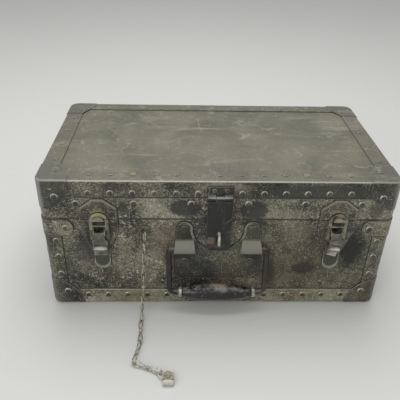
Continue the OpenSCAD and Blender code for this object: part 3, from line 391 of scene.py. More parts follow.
@dataclass(frozen=True)
class Paint(Finish):
    """Old paint on sheet metal: mottled, grainy, dusty in its crevices, black with painted shade in its seams,
    rubbed bright on its edges and with a painted highlight on its bends and rivet rings.
    """

    dark: Color = (0.013, 0.013, 0.010)
    light: Color = (0.116, 0.111, 0.083)
    brown: Color = (0.080, 0.056, 0.041)
    olive: Color = (0.088, 0.090, 0.045)
    grain: Color = (0.36, 0.335, 0.24)
    fleck: Color = (0.62, 0.60, 0.50)
    top_dark: Color = (0.090, 0.089, 0.062)
    top_light: Color = (0.156, 0.150, 0.104)
    dust: Color = (0.33, 0.315, 0.245)
    bare_and_highlight: Color = (0.46, 0.45, 0.39)
    brown_cloud: Cloud = Cloud(12.0, 5.0, 0.6, 0.4, 0.48, 0.66)
    olive_cloud: Cloud = Cloud(8.0, 4.0, 0.55, 1.1, 0.5, 0.68)
    mottle_cloud: Cloud = Cloud(85.0, 5.0, 0.68, 0.3, 0.46, 0.62)
    top_cloud: Cloud = Cloud(11.0, 6.0, 0.55, 0.5, 0.34, 0.68)
    top_swirl: Cloud = Cloud(34.0, 7.0, 0.62, 2.2, 0.54, 0.74)
    top_grain: Cloud = Cloud(420.0, 3.0, 0.6, 0.0, 0.55, 0.7)
    patch_scale: float = 17.0
    grain_scale: float = 620.0
    density: float = 0.5
    brown_amount: float = 0.6
    mottle_amount: float = 0.5
    grain_amount: float = 0.65
    fleck_amount: float = 0.55
    scratch_amount: float = 0.5
    seam_amount: float = 0.85
    dust_amount: float = 0.6
    dust_reach: float = 0.004
    wear: float = 0.8
    bend_wear_and_highlight: float = 0.6
    ring_wear_and_highlight: float = 0.0
    edge_radius: float = 0.0009
    roughness: float = 0.55
    bump_depth: float = 0.0003
    patches: tuple[Patch, ...] = ()

    def front_color(self, net: Net) -> tuple[Socket, Socket, Socket]:
        """Colours the upright faces.

        Two noises make blotches and smaller mottles, two more tint them brown and olive, and two sizes of
        grain lie on top.

        Args:
            net: the material's net.

        Returns:
            The colour, the mask of grains and the mask of blotches.
        """
        fine = net.group("speckle", Grain=self.grain_scale, Patch=self.patch_scale, Density=self.density)
        coarse = net.group("speckle", Grain=self.grain_scale * 0.4, Patch=self.patch_scale * 1.7,
                           Density=self.density - 0.24)
        blotch = net.ramp(fine["Patch"], 0.37, 0.64)
        color = net.blend(blotch, self.dark, self.light)
        color = net.tint(color, self.brown, net.cloud(self.brown_cloud), self.brown_amount)
        color = net.tint(color, self.olive, net.cloud(self.olive_cloud), self.brown_amount)
        color = net.tint(color, self.dark, net.cloud(self.mottle_cloud), self.mottle_amount)
        color = net.tint(color, self.grain, fine["Mask"], self.grain_amount)
        color = net.tint(color, self.fleck, coarse["Mask"], self.fleck_amount)
        return color, net.most(fine["Mask"], coarse["Mask"]), blotch

    def top_color(self, net: Net, streaks: Socket) -> Socket:
        """Colours the faces that look up: soft clouds, with dust on them in swirls, grains and streaks.

        Args:
            net: the material's net.
            streaks: the mask of streaks.

        Returns:
            The colour.
        """
        color = net.blend(net.cloud(self.top_cloud), self.top_dark, self.top_light)
        color = net.tint(color, self.dust, net.cloud(self.top_swirl), 0.5)
        color = net.tint(color, self.dust, net.cloud(self.top_grain), 0.22)
        return net.tint(color, self.dust, streaks, 0.55)

    def surface(self, net: Net) -> dict[str, object]:
        """Lays patches, dust, black painted shade in seams, and rubbed metal mixed with a painted highlight on
        bends and rivet rings over the paint, with relief from the grain.

        Args:
            net: the material's net.

        Returns:
            The shader's inputs.
        """
        edges = net.group("edge_wear", Radius=self.edge_radius, Amount=self.wear)
        crevice = net.group("crevice", Distance=self.dust_reach, Amount=self.dust_amount)
        scuffs = net.group("scuffs")
        facing = net.group("facing")

        front, grains, blotch = self.front_color(net)
        color = net.blend(facing["Up"], front, self.top_color(net, scuffs["Streaks"]))
        color = net.tint(color, self.dust, scuffs["Scratches"], self.scratch_amount)
        for patch in self.patches:
            color = net.tint(color, patch.color, patch.mask(net), patch.strength)
        color = net.blend(crevice["Mask"], color, self.dust)
        # Black painted shade in seams and beside steps, weaker on faces that look up.
        seam_shade = net.minus(self.seam_amount, net.times(facing["Up"], 0.45), clamp=True)
        color = net.blend(net.times(crevice["Seam"], seam_shade), color, SHADE_BLACK)
        # Rubbed metal on edges, mixed with a painted highlight on bends and on the rings of rivet domes.
        bare_and_highlight = net.most(edges["Mask"], net.times(facing["Bend"], self.bend_wear_and_highlight))
        bare_and_highlight = net.times(net.most(bare_and_highlight, net.times(facing["Round"], self.ring_wear_and_highlight)), 0.9)
        color = net.blend(bare_and_highlight, color, self.bare_and_highlight)

        rough = net.minus(net.plus(self.roughness, net.times(grains, 0.15)), net.times(bare_and_highlight, 0.18))
        height = net.minus(net.plus(net.times(grains, 0.6), blotch), net.times(bare_and_highlight, 0.4))
        relief = net.add("Bump", Strength=0.4, Distance=self.bump_depth, Height=height, Normal=edges["Normal"])
        return {"Base Color": color, "Roughness": rough, "Metallic": net.times(bare_and_highlight, 0.35), "Normal": relief[0]}


@dataclass(frozen=True)
class BareMetal(Finish):
    """Tarnished metal: stained all over and in its crevices, black with painted shade in its seams, and brighter
    on its edges.
    """

    dark: Color = (0.09, 0.088, 0.07)
    light: Color = (0.33, 0.32, 0.27)
    edge: Color = (0.62, 0.60, 0.52)
    stain: Color = (0.12, 0.085, 0.05)
    seam_shade: Color = (0.006, 0.006, 0.005)
    scale: float = 160.0
    metallic: float = 0.75
    roughness: float = 0.42
    edge_radius: float = 0.0006
    edge_wear: float = 0.9
    dust_amount: float = 0.3
    cover: float = 0.7
    bump_depth: float = 0.0002
    patches: tuple[Patch, ...] = ()

    def surface(self, net: Net) -> dict[str, object]:
        """Lays stains, black painted shade in seams, patches and bright edges over mottled metal, which is
        duller under the stains.

        Args:
            net: the material's net.

        Returns:
            The shader's inputs.
        """
        edges = net.group("edge_wear", Radius=self.edge_radius, Amount=self.edge_wear)
        crevice = net.group("crevice", Amount=self.dust_amount)
        mottle = net.noise(self.scale, 6.0, 0.65, 0.3)
        stains = net.times(net.cloud(Cloud(self.scale * 2.3, 3.0, 0.6, 0.0, 0.56, 0.68)), self.cover)
        color = net.blend(net.ramp(mottle, 0.35, 0.65), self.dark, self.light)
        color = net.blend(stains, color, self.stain)
        color = net.blend(crevice["Mask"], color, self.stain)
        # Black painted shade in seams.
        color = net.tint(color, self.seam_shade, crevice["Seam"], self.cover)
        metal = net.times(net.inverse(stains), self.metallic)
        for patch in self.patches:
            share = net.times(patch.mask(net), patch.strength)
            color = net.blend(share, color, patch.color)
            metal = net.times(metal, net.inverse(share))
        color = net.tint(color, self.edge, edges["Mask"], self.cover)
        rough = net.plus(self.roughness, net.times(net.minus(mottle, 0.5), 0.5))
        relief = net.add("Bump", Strength=0.3, Distance=self.bump_depth, Height=mottle, Normal=edges["Normal"])
        return {"Base Color": color, "Roughness": rough, "Metallic": metal, "Normal": relief[0]}


@dataclass(frozen=True)
class Leather(Finish):
    """Black leather with a painted highlight on its upper creases, worn through to tan on the middle of its top.
    """

    black: Color = (0.012, 0.011, 0.010)
    scuff: Color = (0.10, 0.097, 0.09)
    leather_highlight: Color = (0.23, 0.225, 0.21)
    nick: Color = (0.5, 0.47, 0.42)
    nicks: Cloud = Cloud(260.0, 2.0, 0.5, 0.0, 0.7, 0.74)
    pore_scale: float = 900.0
    gloss: float = 0.16
    bump_depth: float = 0.0004
    worn: Patch = Patch((0.001, -0.1285, 0.0436), (0.0135, 0.006, 0.0036), (0.36, 0.255, 0.205), 0.9, 1.2, 0.5)

    def surface(self, net: Net) -> dict[str, object]:
        """Lays scuffs, a painted highlight, the worn place and nicks over black, with pores and creases in its
        relief.

        Args:
            net: the material's net.

        Returns:
            The shader's inputs.
        """
        pores = net.add("TexVoronoi", {"feature": "DISTANCE_TO_EDGE"}, Vector=net.place, Scale=self.pore_scale)
        pore = net.ramp(pores["Distance"], 0.0, 0.25)
        creases = net.noise(70.0, 6.0, 0.6, 0.4)
        rubbed = net.ramp(creases, 0.5, 0.72)
        # A painted highlight on the creases of the faces that look up.
        highlit = net.times(net.group("facing")["Up"], net.ramp(creases, 0.36, 0.6))
        spot = self.worn.mask(net)
        color = net.tint(self.black, self.scuff, rubbed, 0.6)
        color = net.tint(color, self.leather_highlight, highlit, 0.8)
        color = net.tint(color, self.worn.color, spot, self.worn.strength)
        color = net.tint(color, self.nick, net.cloud(self.nicks), 0.8)
        rough = net.plus(net.plus(self.gloss, net.times(rubbed, 0.2)), net.times(spot, 0.35))
        height = net.plus(net.times(pore, 0.3), net.times(creases, 1.2))
        relief = net.add("Bump", Strength=0.3, Distance=self.bump_depth, Height=height)
        return {"Base Color": color, "Roughness": rough, "Normal": relief[0]}


# Meshes


def mesh_object(name: str, points: np.ndarray, faces: np.ndarray, material: Material) -> Object:
    """Makes a smooth-shaded object from arrays.

    Args:
        name: the object's name.
        points: corners, as rows of x, y, z.
        faces: rows of four corner numbers.
        material: its material.

    Returns:
        The new object, at the origin.
    """
    mesh = bpy.data.meshes.new(name)
    mesh.from_pydata(points.tolist(), [], faces.tolist())
    mesh.polygons.foreach_set("use_smooth", np.ones(len(mesh.polygons), dtype=bool))
    mesh.materials.append(material)
    mesh.update()
    made = bpy.data.objects.new(name, mesh)
    bpy.context.scene.collection.objects.link(made)
    return made


def tube_faces(rings: int, sides: int) -> np.ndarray:
    """Numbers the quads between rings of points.

    Args:
        rings: how many rings there are.
        sides: how many points each ring has.

    Returns:
        Rows of four corner numbers.
    """
    ring, here = (a.ravel() for a in np.meshgrid(np.arange(rings - 1), np.arange(sides), indexing="ij"))
    beside = (here + 1) % sides
    low, high = ring * sides, (ring + 1) * sides
    return np.stack([low + here, high + here, high + beside, low + beside], axis=1)


# Sub-assemblies


def dress(finish: Finish, *nodes: str) -> Material:
    """Gives CAD nodes a finish through their slots.

    Args:
        finish: the finish.
        nodes: the nodes' names.

    Returns:
        The finish's material.
    """
    material = finish.build()
    for name in nodes:
        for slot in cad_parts[name].material_slots:
            slot.material = material
    log.info("dressed %s with %s", ", ".join(nodes), material.name)
    return material


@dataclass
class Case:
    """The riveted body of the chest, and the rivets and hinges of body and lid."""

    @staticmethod
    def shell_patches() -> tuple[Patch, ...]:
        """The stains of the body's front: reddish ones left of the handle, dark ones to the right, and a black
        line of painted shade under the lid's rim band.

        Returns:
            The patches.
        """
        red, black, gray = (0.115, 0.078, 0.062), (0.006, 0.006, 0.004), (0.026, 0.026, 0.026)
        brown, olive, tan = (0.042, 0.035, 0.014), (0.024, 0.025, 0.008), (0.1, 0.085, 0.055)
        return (
            front_patch(-0.072, 0.108, 0.026, 0.036, red, 0.5, 0.8, 0.7),
            front_patch(-0.05, 0.125, 0.02, 0.016, red, 0.55, 0.7, 0.6),
            front_patch(-0.178, 0.092, 0.018, 0.03, gray, 0.6, 0.6, 0.6),
            front_patch(0.12, 0.07, 0.1, 0.085, brown, 0.5, 0.5, 0.7, depth=0.03),
            front_patch(0.178, 0.094, 0.026, 0.046, black, 0.95, 0.6, 0.6),
            front_patch(0.119, 0.062, 0.02, 0.012, black, 0.75, 0.5, 0.4),
            front_patch(0.072, 0.05, 0.012, 0.034, olive, 0.6, 0.5, 0.6),
            front_patch(0.046, 0.137, 0.022, 0.009, black, 0.8, 0.5, 0.5),
            front_patch(0.11, 0.128, 0.03, 0.012, tan, 0.4, 0.8, 0.7),
            # A black line of painted shade under the lid's rim band.
            seam_shadow(0.1425, 0.0018),
        )

    @staticmethod
    def bottom_binding_patches() -> tuple[Patch, ...]:
        """A painted highlight along the bottom bindings' upper edge, and yellowed places under it."""
        edge_highlight, edge_depth = (0.55, 0.53, 0.38), 0.003
        # A painted highlight along each binding's upper edge, where it faces the light.
        return (front_patch(-0.125, 0.0252, 0.08, 0.0014, edge_highlight, 0.85, 0.2, 0.5, edge_depth),
                front_patch(0.115, 0.0252, 0.06, 0.0013, edge_highlight, 0.5, 0.4, 0.5, edge_depth),
                front_patch(-0.11, 0.015, 0.05, 0.02, (0.2, 0.19, 0.09), 0.35, 0.8, 0.6),
                front_patch(0.125, 0.015, 0.045, 0.02, (0.17, 0.15, 0.06), 0.35, 0.8, 0.6))

    @staticmethod
    def rivet_paint() -> Paint:
        """The rivets' paint: dark heads that are dusty round the foot, with a bright ring on the dome that is
        partly wear and partly a painted highlight, two of them yellowed.
        """
        yellow, rust, head = (0.3, 0.28, 0.1), (0.34, 0.22, 0.13), (0.005, 0.01, 0.006)
        return Paint("rivet_paint", dark=(0.014, 0.014, 0.012), light=(0.045, 0.044, 0.036), density=0.28,
                     top_dark=(0.09, 0.088, 0.066), top_light=(0.13, 0.125, 0.095), dust=(0.42, 0.40, 0.32),
                     dust_amount=0.5, dust_reach=0.0022, bend_wear_and_highlight=0.0, ring_wear_and_highlight=0.95, wear=0.25,
                     roughness=0.4, bare_and_highlight=(0.44, 0.43, 0.35),
                     patches=(Patch((-0.107, -0.1, 0.2), head, yellow, 0.45, 0.9),
                              Patch((0.109, -0.1, 0.2), head, rust, 0.4, 0.9)))

    def build(self) -> None:
        """Dresses the body's shell, bindings, caps and straps, the rim tongue, all rivets and the hinges."""
        dress(Paint("body_paint", patches=self.shell_patches()), "body_shell")
        dress(Paint("tongue_paint", density=0.3, dust_amount=0.3), "rim_tongue")
        dress(Paint("bottom_binding_paint", dark=(0.035, 0.034, 0.024), light=(0.23, 0.215, 0.145),
                    density=0.6, wear=1.0, bend_wear_and_highlight=0.25, patches=self.bottom_binding_patches()),
              *("bottom_binding_" + e for e in EDGES))
        dress(Paint("corner_binding_paint", light=(0.12, 0.12, 0.095), bend_wear_and_highlight=0.1, wear=0.7),
              *("corner_binding_" + c for c in CORNERS))
        dress(Paint("bottom_cap_paint", light=(0.07, 0.068, 0.054), density=0.42, bend_wear_and_highlight=0.2,
                    edge_radius=0.0014, wear=1.6), *("bottom_cap_" + c for c in CORNERS))
        # The two black lines are painted shade along the strap's seams.
        dress(Paint("strap_paint", density=0.58, bend_wear_and_highlight=0.15, wear=0.6,
                    patches=(seam_shadow(0.142, 0.0012, 0.7), seam_shadow(0.1168, 0.0014))),
              *("rim_strap_" + c for c in CORNERS))
        dress(self.rivet_paint(), "body_rivets", "lid_rivets", "lid_rim_rivets", "body_hardware_rivets",
              "lid_hardware_rivets")
        dress(Paint("hinge_paint", density=0.4, bend_wear_and_highlight=0.2), "hinge_lower_leaves", "hinge_upper_leaves")
        dress(BareMetal("pin_steel"), "hinge_pins", "lever_pins", "hasp_pin")


@dataclass
class Lid:
    """The riveted lid of the chest."""

    def build(self) -> None:
        """Dresses the lid's shell, bindings, rim band and caps."""
        dark, dusty = (0.014, 0.015, 0.014), (0.23, 0.22, 0.16)
        # The black lines at fixed heights are painted shade along the seams of the binding and the band.
        on_binding = (front_patch(0.128, 0.184, 0.085, 0.012, (0.03, 0.031, 0.028), 0.8, 0.3, 0.3),
                      front_patch(0.004, 0.191, 0.045, 0.008, dusty, 0.7, 0.7, 0.7),
                      front_patch(-0.13, 0.19, 0.03, 0.007, dark, 0.6, 0.8, 0.6),
                      seam_shadow(0.175, 0.0016))
        on_band = (front_patch(-0.044, 0.16, 0.024, 0.014, dark, 0.85, 0.35, 0.3),
                   front_patch(0.044, 0.157, 0.021, 0.016, dark, 0.85, 0.35, 0.3),
                   front_patch(-0.121, 0.16, 0.008, 0.011, dark, 0.7, 0.5, 0.4),
                   front_patch(0.092, 0.152, 0.03, 0.011, dusty, 0.5, 0.8, 0.7),
                   front_patch(0.2, 0.158, 0.012, 0.014, dark, 0.6, 0.6, 0.5),
                   seam_shadow(0.1432, 0.0018), seam_shadow(0.1748, 0.0009))
        dress(Paint("lid_paint"), "lid_shell")
        dress(Paint("lid_binding_paint", light=(0.085, 0.083, 0.063), density=0.45, bend_wear_and_highlight=1.0,
                    wear=0.6, top_dark=(0.098, 0.09, 0.067), top_light=(0.142, 0.13, 0.098),
                    dust_amount=0.9, patches=on_binding), *("lid_binding_" + e for e in EDGES))
        dress(Paint("rim_band_paint", light=(0.15, 0.145, 0.11), density=0.56, bend_wear_and_highlight=0.2, wear=0.7,
                    patches=on_band), "lid_rim_band")
        dress(Paint("lid_cap_paint", dark=(0.016, 0.017, 0.016), light=(0.06, 0.06, 0.052),
                    density=0.36, top_dark=(0.085, 0.084, 0.066), top_light=(0.12, 0.115, 0.09),
                    bend_wear_and_highlight=0.55, wear=0.9), *("lid_cap_" + c for c in CORNERS))


@dataclass
class Catches:
    """The two draw catches, which stand at x either side of the middle."""

    x: float = 0.153

    def base_patches(self) -> tuple[Patch, ...]:
        """The bases' and keepers' patches.

        First come the dust on the keepers' raised borders, a yellow and a pink stain, and then on each base
        the black painted shadow under the lever, and the hollow at its foot with a rubbed rim.

        Returns:
            The patches.
        """
        yellow, pink, black = (0.24, 0.24, 0.10), (0.42, 0.25, 0.18), (0.005, 0.005, 0.004)
        dusty, rim, hollow = (0.23, 0.225, 0.17), (0.36, 0.355, 0.29), (0.032, 0.032, 0.026)
        patches = [Patch((side * self.x, -0.1238, 0.162), (0.06, 0.0049, 0.05), dusty, 0.75, 0.05, 0.03)
                   for side in SIDES]
        patches += [Patch((-self.x, -0.122, 0.155), (0.013, 0.01, 0.008), yellow, 0.7, 1.0, 0.6),
                    Patch((self.x, -0.125, 0.148), (0.004, 0.006, 0.003), pink, 0.6, 0.8, 0.5)]
        for side in SIDES:
            x = side * self.x
            # A black painted shadow under the lever, in the stirrup's windows.
            patches += [Patch((x, FRONT, 0.136), (0.009, 0.004, 0.012), black, 0.95, 0.1, 0.2),
                        Patch((x, -0.118, 0.0755), (0.0122, 0.004, 0.0118), rim, 0.8, 0.15, 0.1),
                        Patch((x, -0.118, 0.0805), (0.0104, 0.004, 0.0142), hollow, 0.95, 0.1, 0.1)]
        return tuple(patches)

    def build(self) -> None:
        """Dresses the bases, keepers, levers and stirrups."""
        lever_highlight, brass, rust = (0.62, 0.61, 0.55), (0.38, 0.375, 0.2), (0.38, 0.25, 0.17)
        # Painted highlights on the levers' rolls and on the right lever's curled lip.
        rolls = [Patch((side * self.x, -0.1275, 0.102), (0.0125, 0.006, 0.005), lever_highlight, 0.85, 0.4, 0.6)
                 for side in SIDES]
        lip = Patch((self.x, -0.1265, 0.094), (0.011, 0.006, 0.004), lever_highlight, 0.6, 1.0, 0.6)
        arches = (Patch((-self.x, -0.121, 0.151), (0.012, 0.01, 0.006), brass, 0.75, 0.8),
                  Patch((self.x + 0.001, -0.121, 0.1515), (0.005, 0.01, 0.005), rust, 0.7, 1.3, 0.5))
        dress(Paint("catch_paint", light=(0.12, 0.118, 0.09), density=0.45, edge_radius=0.0008, wear=1.0,
                    bend_wear_and_highlight=0.2, patches=self.base_patches()),
              "catch_base_left", "catch_base_right", "keeper_left", "keeper_right")
        dress(BareMetal("lever_steel", dark=(0.075, 0.074, 0.06), light=(0.24, 0.235, 0.195),
                        edge=(0.66, 0.65, 0.58), scale=60.0, metallic=0.45, roughness=0.38,
                        patches=(*rolls, lip)), "lever_left", "lever_right")
        dress(BareMetal("stirrup_steel", dark=(0.09, 0.088, 0.06), light=(0.28, 0.27, 0.2), metallic=0.5,
                        patches=arches), "stirrup_left", "stirrup_right")


@dataclass
class Hasp:
    """The hasp and its staple."""

    def build(self) -> None:
        """Dresses the leaf, the strap, the staple and its plate."""
        chip, chip_shade = (0.135, 0.088, 0.07), (0.05, 0.033, 0.026)
        rub, pale = (0.07, 0.06, 0.05), (0.3, 0.3, 0.26)
        wear = (Patch((-0.011, -0.1235, 0.1075), (0.006, 0.01, 0.008), chip_shade, 0.8, 0.9, 0.3),
                Patch((-0.0105, -0.1235, 0.1145), (0.006, 0.01, 0.0065), chip, 0.9, 0.9, 0.25),
                Patch((0.001, -0.1235, 0.105), (0.012, 0.01, 0.004), rub, 0.6, 0.8, 0.6),
                Patch((0.0, -0.122, 0.1785), (0.016, 0.01, 0.0014), pale, 0.7, 0.2, 0.4))
        dress(Paint("hasp_paint", dark=(0.006, 0.007, 0.007), light=(0.011, 0.012, 0.011), density=-0.12,
                    brown_amount=0.1, dust_amount=0.15, wear=0.45, bend_wear_and_highlight=0.15, roughness=0.5,
                    patches=wear), "hasp_leaf", "hasp_strap")
        dress(Paint("staple_paint", brown=(0.12, 0.07, 0.05), brown_amount=0.9), "staple_plate")
        dress(BareMetal("staple_steel", dark=(0.3, 0.27, 0.19), light=(0.72, 0.69, 0.56), metallic=0.4),
              "hasp_staple")


@dataclass
class Handle:
    """The plate, the bail and its leather grip.

    The plate's hoods stand at hood_x either side of the middle. The grip has so many rings of points along it,
    and so many sides. Its end_radius is reached at either end, where the last end_round is rounded down to
    end_share of it.
    """

    hood_x: float = 0.044
    rings: int = 260
    sides: int = 120
    clearance: float = 0.0001
    end_radius: float = 0.0058
    end_round: float = 0.0012
    end_share: float = 0.55
    wrinkle_depth: float = 0.00011
    seam_depth: float = 0.0006
    seam_turn: float = 0.25 * math.pi
    seam_width: float = 0.09

    def build(self) -> None:
        """Dresses the plate, the bail and the ferrules, and makes the grip."""
        face, hood = (0.22, 0.215, 0.165), (0.22, 0.218, 0.18)
        hood_underside_shade, shade = (0.01, 0.01, 0.008), (0.006, 0.006, 0.005)
        patches = [Patch((0, -0.1224, 0.127), (0.12, 0.005, 0.045), face, 0.8, 0.04, 0.03),
                   Patch((0, -0.1305, 0.1), (0.2, 0.0125, 0.03), hood, 0.78, 0.05, 0.06),
                   # Painted shade on the hoods' lower edges, which face down.
                   Patch((0, -0.131, 0.0905), (0.2, 0.0105, 0.0042), hood_underside_shade, 0.85, 0.2, 0.4)]
        # Painted shadow on the plate under each hood.
        patches += [Patch((side * self.hood_x, -0.1172, 0.084), (0.02, 0.004, 0.009), shade, 0.75, 0.3, 0.6)
                    for side in SIDES]
        dress(Paint("plate_paint", dark=(0.014, 0.014, 0.012), light=(0.048, 0.047, 0.037), density=0.34,
                    bend_wear_and_highlight=0.0, wear=0.9, patches=tuple(patches)), "handle_plate")
        dress(Paint("bail_paint", dark=(0.006, 0.006, 0.006), light=(0.02, 0.019, 0.018), density=0.1,
                    bend_wear_and_highlight=0.0, wear=0.3, roughness=0.4), "handle_bail")
        dress(BareMetal("ferrule_steel", dark=(0.25, 0.25, 0.23), light=(0.75, 0.74, 0.69), metallic=0.6,
                        roughness=0.3), "handle_ferrules")
        self.grip(dress(Leather("grip_leather"), "handle_grip"))

    def grip(self, leather: Material) -> Object:
        """Makes the leather grip.

        A surface of revolution about X whose radius is an arc's, largest in the middle, with rounded ends. It is
        drawn in by shallow wrinkles, which are sums of bent sine waves, and by a seam along its upper back,
        whose depth is a bell curve of the turn.

        Args:
            leather: its material.

        Returns:
            The grip, riding on the handle.
        """
        (x0, y0, z0), (x1, y1, z1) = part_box("handle_grip")
        half, radius = (x1 - x0) / 2 - self.clearance, (y1 - y0) / 2 - self.clearance
        axis_y, axis_z = (y0 + y1) / 2, (z0 + z1) / 2
        t = np.linspace(-1, 1, self.rings)
        turn = np.linspace(0, 2 * np.pi, self.sides, endpoint=False)
        swell = radius - self.end_radius
        arc = (half * half + swell * swell) / (2 * swell)
        profile = radius - arc + np.sqrt(arc * arc - (t * half) ** 2)
        edge = np.clip((1 - np.abs(t)) * half / self.end_round, 0, 1)
        profile = profile * (self.end_share + (1 - self.end_share) * np.sqrt(1 - (1 - edge) ** 2))
        x = t[:, None] * half
        wrinkle = (np.sin(430 * x + 1.7 * np.sin(3 * turn) + 0.6) * np.sin(2 * turn + 60 * x)
                   + 0.6 * np.sin(910 * x + 2.3 * np.cos(2 * turn) + 1.1) * np.cos(3 * turn - 110 * x))
        seam = np.exp(-(np.angle(np.exp(1j * (turn - self.seam_turn))) / self.seam_width) ** 2)
        depth = self.wrinkle_depth * (1.6 + wrinkle) * edge[:, None] + self.seam_depth * seam * edge[:, None]
        r = profile[:, None] - depth
        points = np.stack([np.broadcast_to(x, r.shape), axis_y + r * np.cos(turn), axis_z + r * np.sin(turn)],
                          axis=-1).reshape(-1, 3)
        made = mesh_object("grip_leather", points, tube_faces(self.rings, self.sides), leather)
        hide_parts("handle_grip")
        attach(made, "handle")
        log.info("made the grip: %d points", len(points))
        return made


@dataclass
class Chain:
    """The chain and its padlock.

    A link's wire has the radius wire. Its end loops have the radius bend and reach hook past the link's ends.
    The legs bow out by bow and meet at waist from the link's axis, where the coil starts at coil_top over the
    middle and goes coil_length down in coil_turns, widening to the radius knot. Each heading is a link's lean
    from straight down, its turn about Z from straight forward and its roll about its own length, in degrees.
    """

    pitch: float = 0.036
    wire: float = 0.0008
    bend: float = 0.0033
    hook: float = 0.001
    bow: float = 0.0003
    waist: float = 0.0009
    knot: float = 0.0023
    coil_top: float = 0.0026
    coil_length: float = 0.0047
    coil_turns: float = 2.6
    start: Point = (-0.0953, -0.12405, 0.127)
    headings: tuple[Point, ...] = (
        (3, -90, 25), (3, -90, -45), (3, -90, 0), (64.62, -2, 60), (90, 2, -30), (90, -9, 60), (90, 67, -30))

    def build(self) -> None:
        """Dresses the anchor and the padlock, and makes the links."""
        wire = dress(BareMetal("chain_wire", dark=(0.16, 0.155, 0.11), light=(0.62, 0.60, 0.48),
                               edge=(0.85, 0.83, 0.72), scale=260.0, metallic=0.5, roughness=0.36),
                     "chain_links")
        dress(BareMetal("anchor_metal", dark=(0.05, 0.048, 0.036), light=(0.2, 0.19, 0.15), metallic=0.4),
              "chain_anchor")
        bead = Patch((-0.063, -0.2585, 0.004), (0.009, 0.006, 0.006), (0.6, 0.58, 0.48), 0.75, 0.3, 0.3)
        dress(BareMetal("lock_metal", dark=(0.12, 0.115, 0.085), light=(0.36, 0.345, 0.26), metallic=0.4,
                        patches=(bead,)), "padlock_body")
        dress(BareMetal("shackle_metal", dark=(0.3, 0.29, 0.24), light=(0.75, 0.73, 0.63), metallic=0.5,
                        roughness=0.33), "padlock_shackle")
        self.links(wire)

    def tube(self, path: np.ndarray, sides: int = 10) -> tuple[np.ndarray, np.ndarray]:
        """Sweeps the wire's circle along a path.

        The circle's first axis is carried from point to point without twist.

        Args:
            path: rows of points.
            sides: points round the circle.

        Returns:
            Points and faces.
        """
        ahead = np.gradient(path, axis=0)
        ahead /= np.linalg.norm(ahead, axis=1)[:, None]
        side = np.zeros_like(path)
        first = np.cross(ahead[0], [0.31, 0.57, 0.76])
        side[0] = first / np.linalg.norm(first)
        for i in range(1, len(path)):
            across = side[i - 1] - ahead[i] * (side[i - 1] @ ahead[i])
            side[i] = across / np.linalg.norm(across)
        other = np.cross(ahead, side)
        turn = np.linspace(0, 2 * np.pi, sides, endpoint=False)[None, :, None]
        ring = (side[:, None] * np.cos(turn) + other[:, None] * np.sin(turn)) * self.wire
        return (path[:, None] + ring).reshape(-1, 3), tube_faces(len(path), sides)

    def link_paths(self) -> list[np.ndarray]:
        """The wires of one link that hangs from the origin along -Z with its loops in X and Z.

        Each half is one wire: a leg, a round bend and the other leg, whose end winds round the waist in a
        coil. The lower half is the upper one turned over.

        Returns:
            The paths of the two halves.
        """
        arc = np.linspace(-0.15, np.pi + 0.15, 40)
        loop = np.stack([self.bend * np.cos(arc), 0 * arc, self.hook - self.bend + self.bend * np.sin(arc)],
                        axis=1)
        low = np.array([self.waist, 0, self.coil_top - self.pitch / 2])
        down = np.linspace(0, 1, 24)[1:, None]
        right = loop[0] * (1 - down) + low * down
        right[:, 0] += self.bow * np.sin(np.pi * down[:, 0])
        left = right * np.array([-1, 1, 1])
        wind = np.linspace(0, 1, 70)[1:]
        radius = self.waist + (self.knot - self.wire - self.waist) * np.minimum(1, wind * 6)
        turn = self.coil_turns * 2 * np.pi * wind
        coil = np.stack([radius * np.cos(turn), radius * np.sin(turn), low[2] - self.coil_length * wind], axis=1)
        upper = np.vstack([left[::-1], loop[::-1], right, coil])
        return [upper, np.array([0, 0, -self.pitch]) + upper * np.array([1, -1, -1])]

    def links(self, material: Material) -> Object:
        """Makes the knotted wire links.

        Each link is turned by its roll, leaned from straight down and turned about Z, and starts where the
        one before it ends. At a sharp bend it starts a little aside, so that the wires lie side by side.

        Args:
            material: its material.

        Returns:
            The chain, riding on the case.
        """
        joint = np.array(self.start)
        route = [joint]
        halves = self.link_paths()
        parts, faces, count, before = [], [], 0, None
        for lean, turn, roll in self.headings:
            matrix = np.array(Matrix.Rotation(math.radians(turn), 3, "Z")
                              @ Matrix.Rotation(math.radians(-lean), 3, "X")
                              @ Matrix.Rotation(math.radians(roll), 3, "Z"))
            step = matrix @ np.array([0, 0, -1.0])
            aside = np.zeros(3)
            if before is not None and before @ step <= 0.9:
                across = abs(math.cos(math.radians(roll))) > 0.7
                aside = self.hook * (before - step) * (-1 if across else 1)
            for path in halves:
                points, quads = self.tube(path @ matrix.T + joint + aside)
                parts.append(points)
                faces.append(quads + count)
                count += len(points)
            route += [joint + self.pitch * step * share for share in (0.25, 0.5, 0.75, 1.0)]
            joint = route[-1]
            before = step
        made = mesh_object("chain_wires", np.vstack(parts), np.vstack(faces), material)
        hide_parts("chain_links")
        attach(made, "case")
        log.info("made the chain: %d links, %d points", len(self.headings), count)
        return made


# Stage


